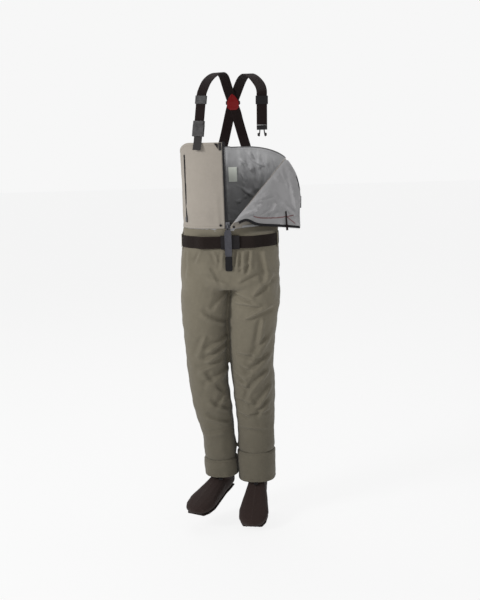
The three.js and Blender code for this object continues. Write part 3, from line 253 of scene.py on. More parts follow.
def wearGroup():
    tree, given, result = newGroup(
        "edgeWear",
        [("NodeSocketColor", "Colour", (0.5, 0.5, 0.5, 1)), ("NodeSocketColor", "Worn", (0.6, 0.6, 0.6, 1)),
         ("NodeSocketFloat", "Amount", 0.4)],
        [("NodeSocketColor", "Colour"), ("NodeSocketFloat", "Mask")],
    )
    geometry = tree.nodes.new("ShaderNodeNewGeometry")
    edge = rangeNode(tree, geometry.outputs["Pointiness"], 0.505, 0.6, 0.0, 1.0)
    patchy = rangeNode(tree, noiseNode(tree, geometry.outputs["Position"], 45, 3), 0.35, 0.65, 0.25, 1.0)
    mask = mathNode(tree, "MULTIPLY", mathNode(tree, "MULTIPLY", edge, patchy), given.outputs["Amount"], clamp=True)
    tree.links.new(mixColour(tree, "MIX", mask, given.outputs["Colour"], given.outputs["Worn"]), result.inputs["Colour"])
    tree.links.new(mask, result.inputs["Mask"])
    return tree


def grainGroup():
    tree, given, result = newGroup(
        "mouldGrain",
        [("NodeSocketVector", "Vector", None), ("NodeSocketFloat", "Grain", 1400.0),
         ("NodeSocketFloat", "Base", 0.4), ("NodeSocketFloat", "Spread", 0.15)],
        [("NodeSocketFloat", "Height"), ("NodeSocketFloat", "Roughness")],
    )
    fine = noiseNode(tree, given.outputs["Vector"], given.outputs["Grain"], 2)
    scuff = noiseNode(tree, given.outputs["Vector"], 60, 4, 0.65)
    centred = mathNode(tree, "SUBTRACT", scuff, 0.5)
    spread = mathNode(tree, "MULTIPLY", given.outputs["Spread"], 3)
    rough = mathNode(tree, "ADD", given.outputs["Base"], mathNode(tree, "MULTIPLY", centred, spread), clamp=True)
    tree.links.new(fine, result.inputs["Height"])
    tree.links.new(rough, result.inputs["Roughness"])
    return tree


groups = {"woven": wovenGroup(), "wear": wearGroup(), "grain": grainGroup()}


def groupNode(tree, group, **values):
    node = tree.nodes.new("ShaderNodeGroup")
    node.node_tree = groups[group]
    for label, value in values.items():
        socket = node.inputs[label]
        if isinstance(value, (int, float, tuple)):
            socket.default_value = value
        else:
            tree.links.new(value, socket)
    return node


def bumpInto(tree, shader, height, distance, strength=1.0):
    bump = tree.nodes.new("ShaderNodeBump")
    bump.inputs["Distance"].default_value = distance
    bump.inputs["Strength"].default_value = strength
    tree.links.new(height, bump.inputs["Height"])
    tree.links.new(bump.outputs[0], shader.inputs["Normal"])


def startMaterial(name):
    material = bpy.data.materials.new(name)
    material.use_nodes = True
    tree = material.node_tree
    shader = tree.nodes["Principled BSDF"]
    place = tree.nodes.new("ShaderNodeTexCoord")
    return material, tree, shader, place


def clothMaterial(name, colour, worn, threads=900, mottle=0.1, ribs=0.0, depth=0.00012,
                  sheen=0.12, wear=0.35, uv=False, crumple=0.0, darkenLow=None):
    material, tree, shader, place = startMaterial(name)
    vector = place.outputs["UV" if uv else "Object"]
    worn = groupNode(tree, "wear", Colour=linear(*colour), Worn=linear(*worn), Amount=wear)
    woven = groupNode(tree, "woven", Vector=vector, Colour=worn.outputs["Colour"], Threads=threads, Mottle=mottle, Ribs=ribs)
    colour = woven.outputs["Colour"]
    # darker towards the bottom: the colour is multiplied by a grey that falls with height, with a noisy edge
    if darkenLow:
        low, high, darkest = darkenLow
        split = tree.nodes.new("ShaderNodeSeparateXYZ")
        tree.links.new(place.outputs["Object"], split.inputs[0])
        patches = mathNode(tree, "MULTIPLY", noiseNode(tree, place.outputs["Object"], 5, 4, 0.6), 0.25)
        height = mathNode(tree, "SUBTRACT", mathNode(tree, "ADD", split.outputs[2], patches), 0.125)
        grey = tree.nodes.new("ShaderNodeCombineColor")
        for socket in grey.inputs[:3]:
            tree.links.new(rangeNode(tree, height, low, high, darkest, 1.0), socket)
        colour = mixColour(tree, "MULTIPLY", 1.0, colour, grey.outputs[0])
    tree.links.new(colour, shader.inputs["Base Color"])
    tree.links.new(woven.outputs["Roughness"], shader.inputs["Roughness"])
    height = woven.outputs["Height"]
    if crumple:
        crease = noiseNode(tree, place.outputs["Object"], 26, 3, 0.5)
        height = mathNode(tree, "ADD", height, mathNode(tree, "MULTIPLY", crease, crumple))
    bumpInto(tree, shader, height, depth)
    shader.inputs["Sheen Weight"].default_value = sheen
    shader.inputs["Sheen Roughness"].default_value = 0.5
    shader.inputs["Specular IOR Level"].default_value = 0.18
    return material


def mouldedMaterial(name, colour, worn, base=0.4, spread=0.15, grain=1400, depth=0.00004,
                    wear=0.5, metallic=0.0, coat=0.0):
    material, tree, shader, place = startMaterial(name)
    worn = groupNode(tree, "wear", Colour=linear(*colour), Worn=linear(*worn), Amount=wear)
    moulded = groupNode(tree, "grain", Vector=place.outputs["Object"], Grain=grain, Base=base, Spread=spread)
    tree.links.new(worn.outputs["Colour"], shader.inputs["Base Color"])
    tree.links.new(moulded.outputs["Roughness"], shader.inputs["Roughness"])
    bumpInto(tree, shader, moulded.outputs["Height"], depth)
    shader.inputs["Metallic"].default_value = metallic
    shader.inputs["Specular IOR Level"].default_value = 0.22
    shader.inputs["Coat Weight"].default_value = coat
    shader.inputs["Coat Roughness"].default_value = 0.25
    return material


# colour, worn colour and the rest of each finish
clothFinishes = {
    "bibCloth": ((150, 143, 134), (172, 166, 156), {"threads": 1100, "mottle": 0.07, "crumple": 1.2}),
    # the trousers get darker towards the bottom of the legs
    "trouserCloth": ((112, 106, 92), (136, 129, 114),
                     {"threads": 1000, "mottle": 0.09, "crumple": 1.4, "darkenLow": (-1.42, -0.8, 0.68)}),
    "lining": ((150, 149, 150), (172, 171, 172), {"threads": 1300, "mottle": 0.09, "sheen": 0.25, "crumple": 1.6}),
    # painted light: a lighter copy of the lining, made brighter to offset the shade inside the back and at the waist
    "innerLining": ((160, 160, 161), (178, 178, 178), {"threads": 1300, "mottle": 0.1, "sheen": 0.2, "crumple": 1.6}),
    "neoprene": ((42, 31, 28), (66, 53, 48), {"threads": 1500, "mottle": 0.12, "depth": 0.0001, "sheen": 0.08}),
    "strapWebbing": ((22, 11, 10), (44, 30, 28),
                     {"threads": 700, "sheen": 0.03, "mottle": 0.1, "ribs": 0.8, "depth": 0.0003, "uv": True}),
    "beltWebbing": ((28, 20, 17), (50, 40, 36),
                    {"threads": 620, "sheen": 0.03, "mottle": 0.1, "ribs": 0.8, "depth": 0.0003, "uv": True}),
    "greyWebbing": ((50, 48, 48), (78, 76, 75), {"threads": 800, "mottle": 0.08, "ribs": 0.5, "depth": 0.0002}),
    "zipTape": ((30, 29, 31), (52, 51, 52), {"threads": 1400, "mottle": 0.08, "depth": 0.00008}),
    "darkHem": ((92, 91, 92), (112, 111, 112), {"threads": 1300, "mottle": 0.06}),
    "redSeam": ((120, 92, 92), (130, 104, 104), {"threads": 1200, "mottle": 0.06}),
    "labelRibbon": ((232, 236, 226), (238, 240, 232), {"threads": 1600, "mottle": 0.03, "sheen": 0.3}),
    "thread": ((104, 98, 88), (120, 114, 104), {"threads": 3000, "mottle": 0.05}),
    "darkThread": ((58, 48, 44), (80, 70, 64), {"threads": 3000, "mottle": 0.05}),
}
mouldedFinishes = {
    "buckle": ((17, 14, 15), (38, 35, 38), {"base": 0.42, "spread": 0.12}),
    "pullGrey": ((50, 50, 56), (78, 78, 85), {"base": 0.3, "spread": 0.14, "coat": 0.3}),
    "pullRubber": ((10, 9, 11), (24, 23, 26), {"base": 0.55, "spread": 0.12, "grain": 900}),
    "zipMetal": ((92, 93, 97), (150, 150, 154), {"base": 0.34, "spread": 0.16, "metallic": 0.9}),
    "zipTeeth": ((12, 12, 13), (34, 34, 37), {"base": 0.4, "spread": 0.1}),
    "redPatch": ((112, 0, 2), (126, 6, 8), {"base": 0.42, "spread": 0.14, "grain": 500, "depth": 0.0002, "coat": 0.15}),
}
finishes = {}
for make, table in ((clothMaterial, clothFinishes), (mouldedMaterial, mouldedFinishes)):
    for name, (colour, worn, rest) in table.items():
        finishes[name] = make(name, colour, worn, **rest)
print("materials ready")


# mesh helpers
def makeMesh(name, points, faces, materials, faceMaterial=None, uvs=None, shade=True):
    mesh = bpy.data.meshes.new(name)
    mesh.from_pydata([tuple(p) for p in points], [], [tuple(f) for f in faces])
    for material in materials:
        mesh.materials.append(finishes[material])
    if faceMaterial is not None:
        mesh.polygons.foreach_set("material_index", np.array(faceMaterial, dtype=np.int32))
    if uvs is not None:
        layer = mesh.uv_layers.new(name="cloth")
        corner = np.empty(len(mesh.loops), dtype=np.int32)
        mesh.loops.foreach_get("vertex_index", corner)
        layer.data.foreach_set("uv", np.array(uvs, dtype=np.float32)[corner].ravel())
    mesh.polygons.foreach_set("use_smooth", np.full(len(mesh.polygons), shade))
    mesh.update()
    piece = bpy.data.objects.new(name, mesh)
    bpy.context.scene.collection.objects.link(piece)
    return piece


def gridFaces(rows, columns, closed=False, first=0):
    faces = []
    last = columns if closed else columns - 1
    for r in range(rows - 1):
        for c in range(last):
            d = (c + 1) % columns
            here, above = first + r * columns, first + (r + 1) * columns
            faces.append((here + c, here + d, above + d, above + c))
    return faces


# faces of a bar with four corners at each of its cross sections
def barFaces(first, sections):
    last = first + 4 * (sections - 1)
    faces = gridFaces(sections, 4, True, first)
    faces.append((first + 3, first + 2, first + 1, first))
    faces.append((last, last + 1, last + 2, last + 3))
    return faces


def gridMesh(name, grid, materials, closed=False, uvs=None):
    grid = np.array(grid, dtype=float)
    rows, columns = grid.shape[:2]
    return makeMesh(name, toRow(grid.reshape(-1, 3)), gridFaces(rows, columns, closed), materials, uvs=uvs)


def settle(piece):
    graph = bpy.context.evaluated_depsgraph_get()
    graph.update()
    mesh = bpy.data.meshes.new_from_object(piece.evaluated_get(graph))
    piece.modifiers.clear()
    piece.data = mesh
    mesh.polygons.foreach_set("use_smooth", np.full(len(mesh.polygons), True))
    return piece


# voxel is the size in millimetres of the cells that join the parts into one skin
def mergeAndEase(piece, voxel, rounds):
    merge = piece.modifiers.new("merge", "REMESH")
    merge.mode = "VOXEL"
    merge.voxel_size = voxel / 1000
    ease = piece.modifiers.new("ease", "SMOOTH")
    ease.factor = 0.5
    ease.iterations = rounds
    return settle(piece)


def travelAlong(line):
    return np.concatenate([[0], np.cumsum(np.linalg.norm(np.diff(line, axis=0), axis=1))])


def thicken(piece, thickness, inside=0, rim=0, subdivide=0):
    shell = piece.modifiers.new("thickness", "SOLIDIFY")
    shell.thickness = thickness / 1000
    shell.offset = -1
    shell.use_even_offset = False
    shell.material_offset = inside
    shell.material_offset_rim = rim
    if subdivide:
        finer = piece.modifiers.new("finer", "SUBSURF")
        finer.levels = finer.render_levels = subdivide
    return settle(piece)


def vertexArrays(piece):
    mesh = piece.data
    points = np.empty(len(mesh.vertices) * 3)
    mesh.vertices.foreach_get("co", points)
    normals = np.empty(len(mesh.vertices) * 3)
    mesh.vertices.foreach_get("normal", normals)
    points = points.reshape(-1, 3) * 1000
    points[:, 2] += shoulderHeight
    return points, normals.reshape(-1, 3)


def setPoints(piece, points):
    piece.data.vertices.foreach_set("co", toRow(points).ravel())
    piece.data.update()


def noiseField(points, scale, seed):
    shift = Vector((seed * 7.31, seed * 3.17, seed * 5.93))
    return np.array([noise.noise(Vector(p) * scale + shift) for p in points])


# A fold is a soft ridge from one end to the other, sharper on its lower side, with a shallow trough below it.
def foldHeights(across, up, folds):
    total = np.zeros(len(across))
    for x0, h0, x1, h1, width, depth in folds:
        dx, dh = x1 - x0, h1 - h0
        length = math.hypot(dx, dh)
        ux, uh = dx / length, dh / length
        along = ((across - x0) * ux + (up - h0) * uh) / length
        away = (across - x0) * -uh + (up - h0) * ux
        away = away + 0.12 * width * np.sin(along * 5.0 + x0)
        ends = smoothStep(along / 0.28 + 0.45) * smoothStep((1 - along) / 0.28 + 0.45)
        spread = width * (0.75 + 0.5 * np.clip(along, 0, 1))
        sharp = np.where(away < 0, spread * 0.55, spread)
        ridge = np.exp(-((away / sharp) ** 2))
        trough = np.exp(-(((away + spread * 1.25) / (spread * 0.8)) ** 2))
        total += depth * ends * (ridge - 0.75 * trough)
    return total


def applyFolds(piece, frontFolds, backFolds, roughness, seed, keep=None):
    points, normals = vertexArrays(piece)
    facing = smoothStep(0.5 - normals[:, 1] * 1.4)
    scaled = lambda folds: [(*fold[:4], fold[4] * trousers["foldWidth"], fold[5] * trousers["foldDepth"]) for fold in folds]
    lift = foldHeights(points[:, 0], points[:, 2], scaled(frontFolds)) * facing
    if backFolds:
        lift += foldHeights(points[:, 0], points[:, 2], scaled(backFolds)) * (1 - facing)
    for scale, depth in roughness:
        lift += noiseField(points, scale, seed) * depth
    lift = trousers["deepest"] * np.tanh(lift / trousers["deepest"])
    if keep is not None:
        lift *= keep(points)
    setPoints(piece, points + normals * lift[:, None])
    ease = piece.modifiers.new("ease", "SMOOTH")
    ease.factor = 0.5
    ease.iterations = trousers["settling"]
    settle(piece)


# shape of the body under the cloth
torsoStations = [
    (889, 193, 184, 132, 128), (960, 191, 184, 129, 124), (1026.5, 184, 184, 121, 119), (1036.5, 180, 181, 116, 116),
    (1081.5, 180, 181, 116, 116), (1111, 175, 184, 126, 120), (1251, 175, 203, 131.2, 130), (1437, 175, 228, 138, 140),
]
torsoPower = 0.8
foldFoot = np.array([14.0, -134.0, 1118.0])
foldTop = np.array([218.0, 15.0, 1354.0])


def stationAt(stations, height):
    heights = [s[0] for s in stations]
    return [float(np.interp(height, heights, [s[k] for s in stations])) for k in range(1, len(stations[0]))]


def torsoPoint(turn, height, inset=0.0):
    right, left, front, back = stationAt(torsoStations, height)
    s, c = math.sin(turn * math.tau), math.cos(turn * math.tau)
    x = math.copysign(((left if s > 0 else right) - inset) * abs(s) ** torsoPower, s)
    y = -math.copysign(((front if c > 0 else back) - inset) * abs(c) ** torsoPower, c)
    return np.array([x, y, height])


def turnAtX(x, height):
    right, left = stationAt(torsoStations, height)[:2]
    share = (abs(x) / (right if x < 0 else left)) ** (1 / torsoPower)
    return math.copysign(math.asin(min(1, share)), x) / math.tau


def slackY(x):
    t = (x - foldFoot[0]) / (foldTop[0] - foldFoot[0])
    return foldFoot[1] + (foldTop[1] - foldFoot[1]) * t + 5


def trouserPoint(turn, height, inset=0.0):
    point = torsoPoint(turn, height, inset)
    if 0 < turn < 0.25 and height > 1081.5 and point[0] > foldFoot[0]:
        pulled = max(point[1], slackY(point[0]) + inset)
        point[1] += (pulled - point[1]) * float(smoothStep((height - 1081.5) / 14))
    return point


def hemHeight(turn):
    front = float(smoothStep((0.25 - min(turn, 1 - turn)) / 0.13))
    leftDrop = 1 - float(smoothStep((turn - 0.25) / 0.22)) if 0.2 < turn < 0.5 else 0
    base = 1397 if turn > 0.5 else 1395
    return base + front * 30 - leftDrop * 41


# trousers: hips and legs in one cloth
trousers = {
    "voxel": 4.6, "smoothing": 20, "thickness": 1.6, "waist": 1110.5, "ankle": 160,
    "foldWidth": 0.7, "foldDepth": 1.75, "deepest": 7.5, "settling": 3,
    "crumple": [(0.011, 4.4), (0.028, 3.0), (0.07, 1.0)],
    # each leg: height, middle across, middle deep, half width, half depth
    "right": [(134, -64, 2, 62, 74), (202, -67, 0, 62, 75), (294, -71, -2, 63, 76), (360, -84, -6, 70, 80),
              (425, -92, -8, 75, 86), (520, -104, -8, 76, 92), (605, -105, -6, 80, 98), (743, -107, -2, 87, 106),
              (829, -102, -1, 93, 118), (939, -96, 0, 92, 122)],
    "left": [(114, 73, 0, 68, 74), (231, 74, -2, 71, 76), (294, 76, -4, 71, 78), (358, 76, -6, 74, 82),
             (425, 75, -8, 77, 88), (520, 70, -8, 82, 94), (602, 67, -6, 83, 100), (740, 76, -2, 94, 108),
             (829, 86, -1, 98, 118), (939, 90, 0, 93, 122)],
}
guards = {"top": {"right": 202, "left": 231}, "hem": {"right": 134, "left": 114}, "thickness": 1.8}


def ovalRing(cx, cy, a, b, height, count, power=0.909, yaw=0.0):
    ring = []
    for i in range(count):
        angle = i / count * math.tau
        x = math.copysign(a * abs(math.cos(angle)) ** power, math.cos(angle))
        y = math.copysign(b * abs(math.sin(angle)) ** power, math.sin(angle))
        ring.append((cx + x * math.cos(yaw) - y * math.sin(yaw), cy + x * math.sin(yaw) + y * math.cos(yaw), height))
    return ring


def cappedLoft(rings, points, faces):
    first = len(points)
    count = len(rings[0])
    for ring in rings:
        points.extend(ring)
    faces.extend(gridFaces(len(rings), count, True, first))
    faces.append(tuple(first + i for i in reversed(range(count))))
    faces.append(tuple(first + (len(rings) - 1) * count + i for i in range(count)))


def buildTrousers():
    points, faces = [], []
    hips = []
    for height in np.linspace(878, trousers["waist"] + 4, 26):
        shrink = 16 * float(smoothStep((896 - height) / 18))
        hips.append([tuple(trouserPoint((j + 0.5) / 96 % 1, min(height, 1111), shrink)[:2]) + (height,) for j in range(96)])
    cappedLoft(hips, points, faces)
    for side in ("right", "left"):
        rings = []
        stations = trousers[side]
        top = guards["top"][side]
        for height in [trousers["ankle"] - 4, 184]:
            cx = -61 if side == "right" else 78
            rings.append(ovalRing(cx, 0, 48, 57, height, 64))
        for height in np.arange(top - 4, 940, 12):
            cx, cy, a, b = stationAt(stations, height)
            tuck = 6 if height < top else 0
            rings.append(ovalRing(cx, cy, a - tuck, b - tuck, height, 64))
        cappedLoft(rings, points, faces)
    piece = makeMesh("trousers", toRow(points), faces, ["trouserCloth", "lining"])
    return mergeAndEase(piece, trousers["voxel"], trousers["smoothing"])


def openEnds(piece, low, high):
    mesh = piece.data
    work = bmesh.new()
    work.from_mesh(mesh)
    ends = [f for f in work.faces if f.calc_center_median().z > high or f.calc_center_median().z < low]
    bmesh.ops.delete(work, geom=ends, context="FACES")
    loose = [v for v in work.verts if not v.link_faces]
    bmesh.ops.delete(work, geom=loose, context="VERTS")
    work.to_mesh(mesh)
    work.free()


# x and height of both ends, width, depth
trouserFrontFolds = [
    (-100, 1030, -122, 985, 9, 5), (-60, 1028, -40, 985, 9, 4), (34, 1032, 30, 965, 8, 6), (56, 1034, 52, 950, 9, 6),
    (88, 1034, 76, 940, 10, 9), (128, 1030, 150, 870, 18, 7), (-150, 1025, -158, 930, 14, 4), (-20, 1030, -28, 960, 9, 4),
    (-8, 905, -78, 925, 12, 4), (-40, 905, -75, 960, 12, 4), (20, 868, 90, 838, 10, 8), (22, 826, 108, 820, 10, 9),
    (58, 768, 150, 812, 12, 10), (92, 860, 158, 930, 13, 8), (40, 915, 105, 955, 12, 5), (36, 955, 80, 985, 9, 4),
    (-14, 868, -60, 800, 14, 5), (-30, 740, -110, 790, 15, 6), (-22, 690, -92, 640, 15, 8), (-100, 700, -135, 620, 16, 4),
    (120, 760, 100, 650, 16, 7), (140, 690, 70, 600, 16, 9), (20, 640, 110, 620, 13, 8), (140, 620, 60, 545, 15, 9),
    (-30, 650, -100, 600, 15, 9), (-40, 600, -130, 560, 16, 5), (-28, 560, -100, 500, 18, 8), (-48, 470, -118, 560, 16, 5),
    (30, 590, 90, 560, 12, 8), (8, 560, 50, 530, 12, 8), (130, 560, 62, 480, 14, 10), (140, 500, 90, 420, 14, 9),
    (10, 520, 60, 500, 12, 7), (70, 500, 40, 420, 14, 6), (8, 455, 70, 440, 12, 8), (130, 440, 95, 380, 14, 8),
    (60, 395, 130, 410, 10, 5), (-30, 400, -95, 440, 14, 7), (-28, 350, -110, 380, 13, 6), (-40, 320, -118, 300, 14, 4),
    (14, 400, 58, 385, 11, 7), (20, 340, 120, 330, 12, 4), (-36, 470, -60, 410, 14, 6),
]
trouserBackFolds = [
    (-120, 1028, -110, 950, 12, 6), (-70, 1030, -60, 960, 11, 5), (60, 1030, 70, 955, 11, 6),
    (120, 1028, 132, 960, 12, 5), (0, 1030, 4, 975, 10, 4),
    (-20, 900, -120, 860, 16, 9), (20, 900, 125, 855, 16, 9), (-30, 850, -140, 820, 15, 8), (30, 852, 140, 815, 15, 8),
    (-60, 780, -160, 700, 18, 5), (50, 770, 140, 700, 18, 5), (-40, 600, -150, 560, 14, 10), (-45, 560, -150, 590, 13, 8),
    (-40, 520, -140, 480, 14, 9), (20, 600, 130, 560, 14, 10), (15, 560, 135, 590, 13, 8), (20, 510, 130, 470, 14, 9),
    (-30, 440, -110, 400, 14, 7), (15, 430, 120, 390, 14, 7), (-35, 350, -110, 330, 12, 6), (20, 340, 120, 315, 12, 6),
]


def finishTrousers():
    piece = buildTrousers()
    calm = lambda p: smoothStep((1034 - p[:, 2]) / 22) * smoothStep((p[:, 2] - 205) / 40)
    applyFolds(piece, trouserFrontFolds, trouserBackFolds, trousers["crumple"], 3, keep=calm)
    openEnds(piece, float(toRow([0, 0, trousers["ankle"]])[2]), float(toRow([0, 0, trousers["waist"]])[2]))
    thicken(piece, trousers["thickness"], inside=1, rim=0)
    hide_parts("hip_shell", "leg_right", "leg_left")
    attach(piece, "waders")
    return piece


trouserPiece = finishTrousers()
print("trousers made", len(trouserPiece.data.vertices))


def surfaceTree(piece):
    mesh = piece.data
    return BVHTree.FromPolygons([v.co for v in mesh.vertices], [p.vertices for p in mesh.polygons])


# stitches: short raised dashes laid on a piece along a line of points
def layStitches(name, target, line, body, thread="thread", length=3.6, pitch=5.6, radius=0.42, sink=0.1, lift=0.25, limit=0.02):
    tree = surfaceTree(target)
    line = toRow(line)
    travel = travelAlong(line)
    points, faces = [], []
    place = pitch / 2000
    while place < travel[-1] - length / 1000:
        ends = []
        for at in (place, place + length / 1000):
            where = Vector([float(np.interp(at, travel, line[:, k])) for k in range(3)])
            spot, normal, _, distance = tree.find_nearest(where)
            if spot is None or distance > limit:
                break
            ends.append((spot, normal))
        place += pitch / 1000
        if len(ends) < 2:
            continue
        (a, na), (b, nb) = ends
        along = b - a
        if along.length < 1e-5:
            continue
        along.normalize()
        normal = (na + nb).normalized()
        side = along.cross(normal).normalized() * radius / 1000
        rise = normal * lift / 1000
        first = len(points)
        sections = ((a, 0.45, -sink), (a.lerp(b, 0.22), 1, 0.75), ((a + b) / 2, 1.05, 1),
                    (a.lerp(b, 0.78), 1, 0.75), (b, 0.45, -sink))
        for centre, wide, high in sections:
            up = rise * high
            points += [centre - side * wide - rise * 0.5, centre - side * wide * 0.6 + up,
                       centre + side * wide * 0.6 + up, centre + side * wide - rise * 0.5]
        faces += barFaces(first, 5)
    if not points:
        return None
    piece = makeMesh(name, points, faces, [thread])
    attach(piece, body)
    return piece


# webbing and bindings: a soft-edged strip along a line, facing the given way
def strapAlong(name, line, normals, width, thickness, material, body, replaced=(), columns=7, edge=0.35):
    line, normals = np.array(line), np.array(normals)
    tangents = np.gradient(line, axis=0)
    tangents /= np.linalg.norm(tangents, axis=1)[:, None]
    sides = np.cross(tangents, normals)
    sides /= np.linalg.norm(sides, axis=1)[:, None]
    outward = np.cross(sides, tangents)
    profile = []
    half, tall = width / 2, thickness / 2
    for s in np.linspace(-1, 1, columns):
        profile.append((s * (half - edge * 0.4), tall * (1 - 0.25 * abs(s) ** 6)))
    profile.append((half, 0))
    for s in np.linspace(1, -1, columns):
        profile.append((s * (half - edge * 0.4), -tall * (1 - 0.25 * abs(s) ** 6)))
    profile.append((-half, 0))
    travel = travelAlong(line)
    points, uvs = [], []
    for i in range(len(line)):
        for across, out in profile:
            points.append(line[i] + sides[i] * across + outward[i] * out)
            uvs.append((across / 1000, travel[i] / 1000))
    count = len(profile)
    faces = gridFaces(len(line), count, True)
    faces.append(tuple(reversed(range(count))))
    faces.append(tuple((len(line) - 1) * count + i for i in range(count)))
    piece = makeMesh(name, toRow(points), faces, [material], uvs=uvs)
    bpy.context.view_layer.update()
    if replaced:
        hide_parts(*replaced)
    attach(piece, body)
    return piece


# bib panels
bib = {"thickness": 2.4, "hemDepth": 12, "hemRaise": 0.9, "edgeX": -7, "sideTurn": -0.262, "seamTurn": 0.263}


def panelGrid(fromTurn, toTurn, columns, rows, low, high=None, out=0.0):
    grid = []
    for v in np.linspace(0, 1, rows):
        line = []
        for u in np.linspace(0, 1, columns):
            turn = (fromTurn + (toTurn - fromTurn) * u) % 1
            top = hemHeight(turn) if high is None else high
            height = low + (top - low) * v
            point = torsoPoint(turn, height, -out)
            line.append(point)
        grid.append(line)
    return np.array(grid)


def hemTops(points):
    return np.array([hemHeight((math.atan2(p[0], -p[1]) / math.tau) % 1) for p in points])


# a line just under the hem, inset from the cloth's middle
def hemLine(fromTurn, toTurn, inset, count):
    drop = bib["hemDepth"] - 1.5
    return [torsoPoint(t % 1, hemHeight(t % 1) - drop, inset) for t in np.linspace(fromTurn, toTurn, count)]


def hemBand(points, tops, depth, raise_):
    return smoothStep((points[:, 2] - (tops - depth)) / 1.6) * raise_


bibRightFolds = [
    (-150, 1180, -60, 1150, 26, 1.6), (-120, 1330, -40, 1290, 30, 1.6),
    (-30, 1120, -34, 1240, 12, 1.4), (-165, 1300, -150, 1180, 14, 1.6),
]


def buildBibRight():
    edgeTurn = turnAtX(bib["edgeX"], 1111)
    grid = panelGrid(bib["sideTurn"], edgeTurn, 110, 90, 1111.2)
    piece = gridMesh("bibRight", grid, ["bibCloth", "lining"])
    points, normals = vertexArrays(piece)
    lift = foldHeights(points[:, 0], points[:, 2], bibRightFolds)
    lift += noiseField(points, 0.012, 5) * 1.6 + noiseField(points, 0.035, 6) * 0.5
    tops = hemTops(points)
    rest = smoothStep((points[:, 2] - 1113) / 12)
    lift = lift * rest + hemBand(points, tops, bib["hemDepth"], bib["hemRaise"])
    lift += 0.8 * smoothStep((1123 - points[:, 2]) / 1.5)
    setPoints(piece, points + normals * lift[:, None])
    thicken(piece, bib["thickness"], inside=1)
    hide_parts("bib_front_right")
    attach(piece, "waders")
    fromTurn, toTurn = bib["sideTurn"] + 0.004, edgeTurn - 0.004
    layStitches("bibRightHemStitches", piece, hemLine(fromTurn, toTurn, -1, 120), "waders")
    for lower in (1113.5, 1120.5):
        line = [torsoPoint(t % 1, lower, -1) for t in np.linspace(fromTurn, toTurn, 120)]
        layStitches(f"bibRightWaistStitches{int(lower)}", piece, line, "waders")
    edge = [torsoPoint(turnAtX(bib["edgeX"] - 4, h) % 1, h, -1) for h in np.linspace(1114, 1424, 80)]
    layStitches("bibRightEdgeStitches", piece, edge, "waders")
    side = [torsoPoint((bib["sideTurn"] + 0.008) % 1, h, -1) for h in np.linspace(1116, 1392, 80)]
    layStitches("bibRightSideStitches", piece, side, "waders")
    return piece


bibBackFolds = [
    (30, 1390, 60, 1200, 16, 4), (75, 1385, 90, 1230, 14, 4), (105, 1380, 120, 1250, 14, 4.5), (-10, 1380, -30, 1200, 18, 3),
    (140, 1370, 150, 1260, 13, 4), (60, 1300, 150, 1330, 14, 3), (20, 1180, 110, 1240, 16, 3), (-100, 1330, -80, 1180, 18, 3),
    (165, 1370, 180, 1280, 12, 3), (40, 1345, 95, 1290, 8, 5), (60, 1380, 100, 1330, 8, 5), (20, 1250, 90, 1200, 9, 5),
    (90, 1340, 145, 1310, 8, 5), (30, 1300, 60, 1265, 7, 4),
]


def buildBibBack():
    grid = panelGrid(bib["seamTurn"], 1 + bib["sideTurn"] - 0.001, 190, 90, 1111.2)
    # the inside of the back uses the lining lightened to offset its shade (painted light)
    piece = gridMesh("bibBack", grid, ["bibCloth", "innerLining"])
    points, normals = vertexArrays(piece)
    lift = -1.6 * foldHeights(points[:, 0], points[:, 2], [(*fold[:4], fold[4] * 0.75, fold[5]) for fold in bibBackFolds])
    lift += noiseField(points, 0.011, 8) * 5.0 + noiseField(points, 0.03, 9) * 3.4 + noiseField(points, 0.07, 10) * 1.2
    tops = hemTops(points)
    lift *= smoothStep((points[:, 2] - 1113) / 25) * (1 - 0.75 * smoothStep((points[:, 2] - (tops - 26)) / 20))
    lift = np.minimum(lift, 0.3)
    lift *= 1 - 0.8 * np.exp(-((points[:, 0] - 7) / 30) ** 2 - ((points[:, 2] - 1290) / 45) ** 2)
    lift += hemBand(points, tops, bib["hemDepth"], 0.5)
    setPoints(piece, points + normals * lift[:, None])
    thicken(piece, bib["thickness"], inside=1)
    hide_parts("bib_back")
    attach(piece, "waders")
    fromTurn, toTurn = bib["seamTurn"], 1 + bib["sideTurn"]
    edgeTurns = np.linspace(fromTurn + 0.004, toTurn - 0.004, 240)
    edge = np.array([torsoPoint(t % 1, hemHeight(t % 1) - 1.2, 0.6) for t in edgeTurns])
    outward = edge * [1, 1, 0]
    strapAlong("backHemBinding", edge, outward, 4.2, bib["thickness"] + 1.4, "darkHem", "waders", columns=5)
    for label, inset in (("Inner", 4), ("Hem", -4)):
        line = hemLine(fromTurn + 0.01, toTurn - 0.01, inset, 220)
        layStitches(f"bibBack{label}Stitches", piece, line, "waders", limit=0.03)
    return piece


def leftPanelRow(height):
    t = max(0.0, (height - foldFoot[2]) / (foldTop[2] - foldFoot[2]))
    fold = foldFoot + (foldTop - foldFoot) * t
    fold[2] = height
    side = torsoPoint(0.262, height)
    across = side - fold
    across[2] = 0
    run = float(np.linalg.norm(across))
    across /= run
    return fold, side, across, np.array([-across[1], across[0], 0]), run


def buildBibLeft():
    grid = []
    for height in np.linspace(1111.2, foldTop[2] - 6, 70):
        fold, side, across, inward, run = leftPanelRow(height)
        line = []
        for s in np.linspace(0.6, run - 0.8, 60):
            sag = 0.5 + 2 * math.sin(math.pi * (s - 0.6) / (run - 0.6)) * min(1, run / 120)
            point = fold + across * s + inward * sag
            point[1] = min(point[1], side[1] - 0.3)
            line.append(point)
        grid.append(line)
    piece = gridMesh("bibLeft", grid, ["bibCloth", "lining"])
    points, normals = vertexArrays(piece)
    lift = noiseField(points, 0.016, 11) * 1.2 - 0.6
    lift *= smoothStep((points[:, 2] - 1113) / 14)
    lift += 0.6 * smoothStep((1123 - points[:, 2]) / 1.5)
    setPoints(piece, points + normals * lift[:, None])
    thicken(piece, bib["thickness"], inside=1)
    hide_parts("bib_front_left")
    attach(piece, "waders")
    return piece


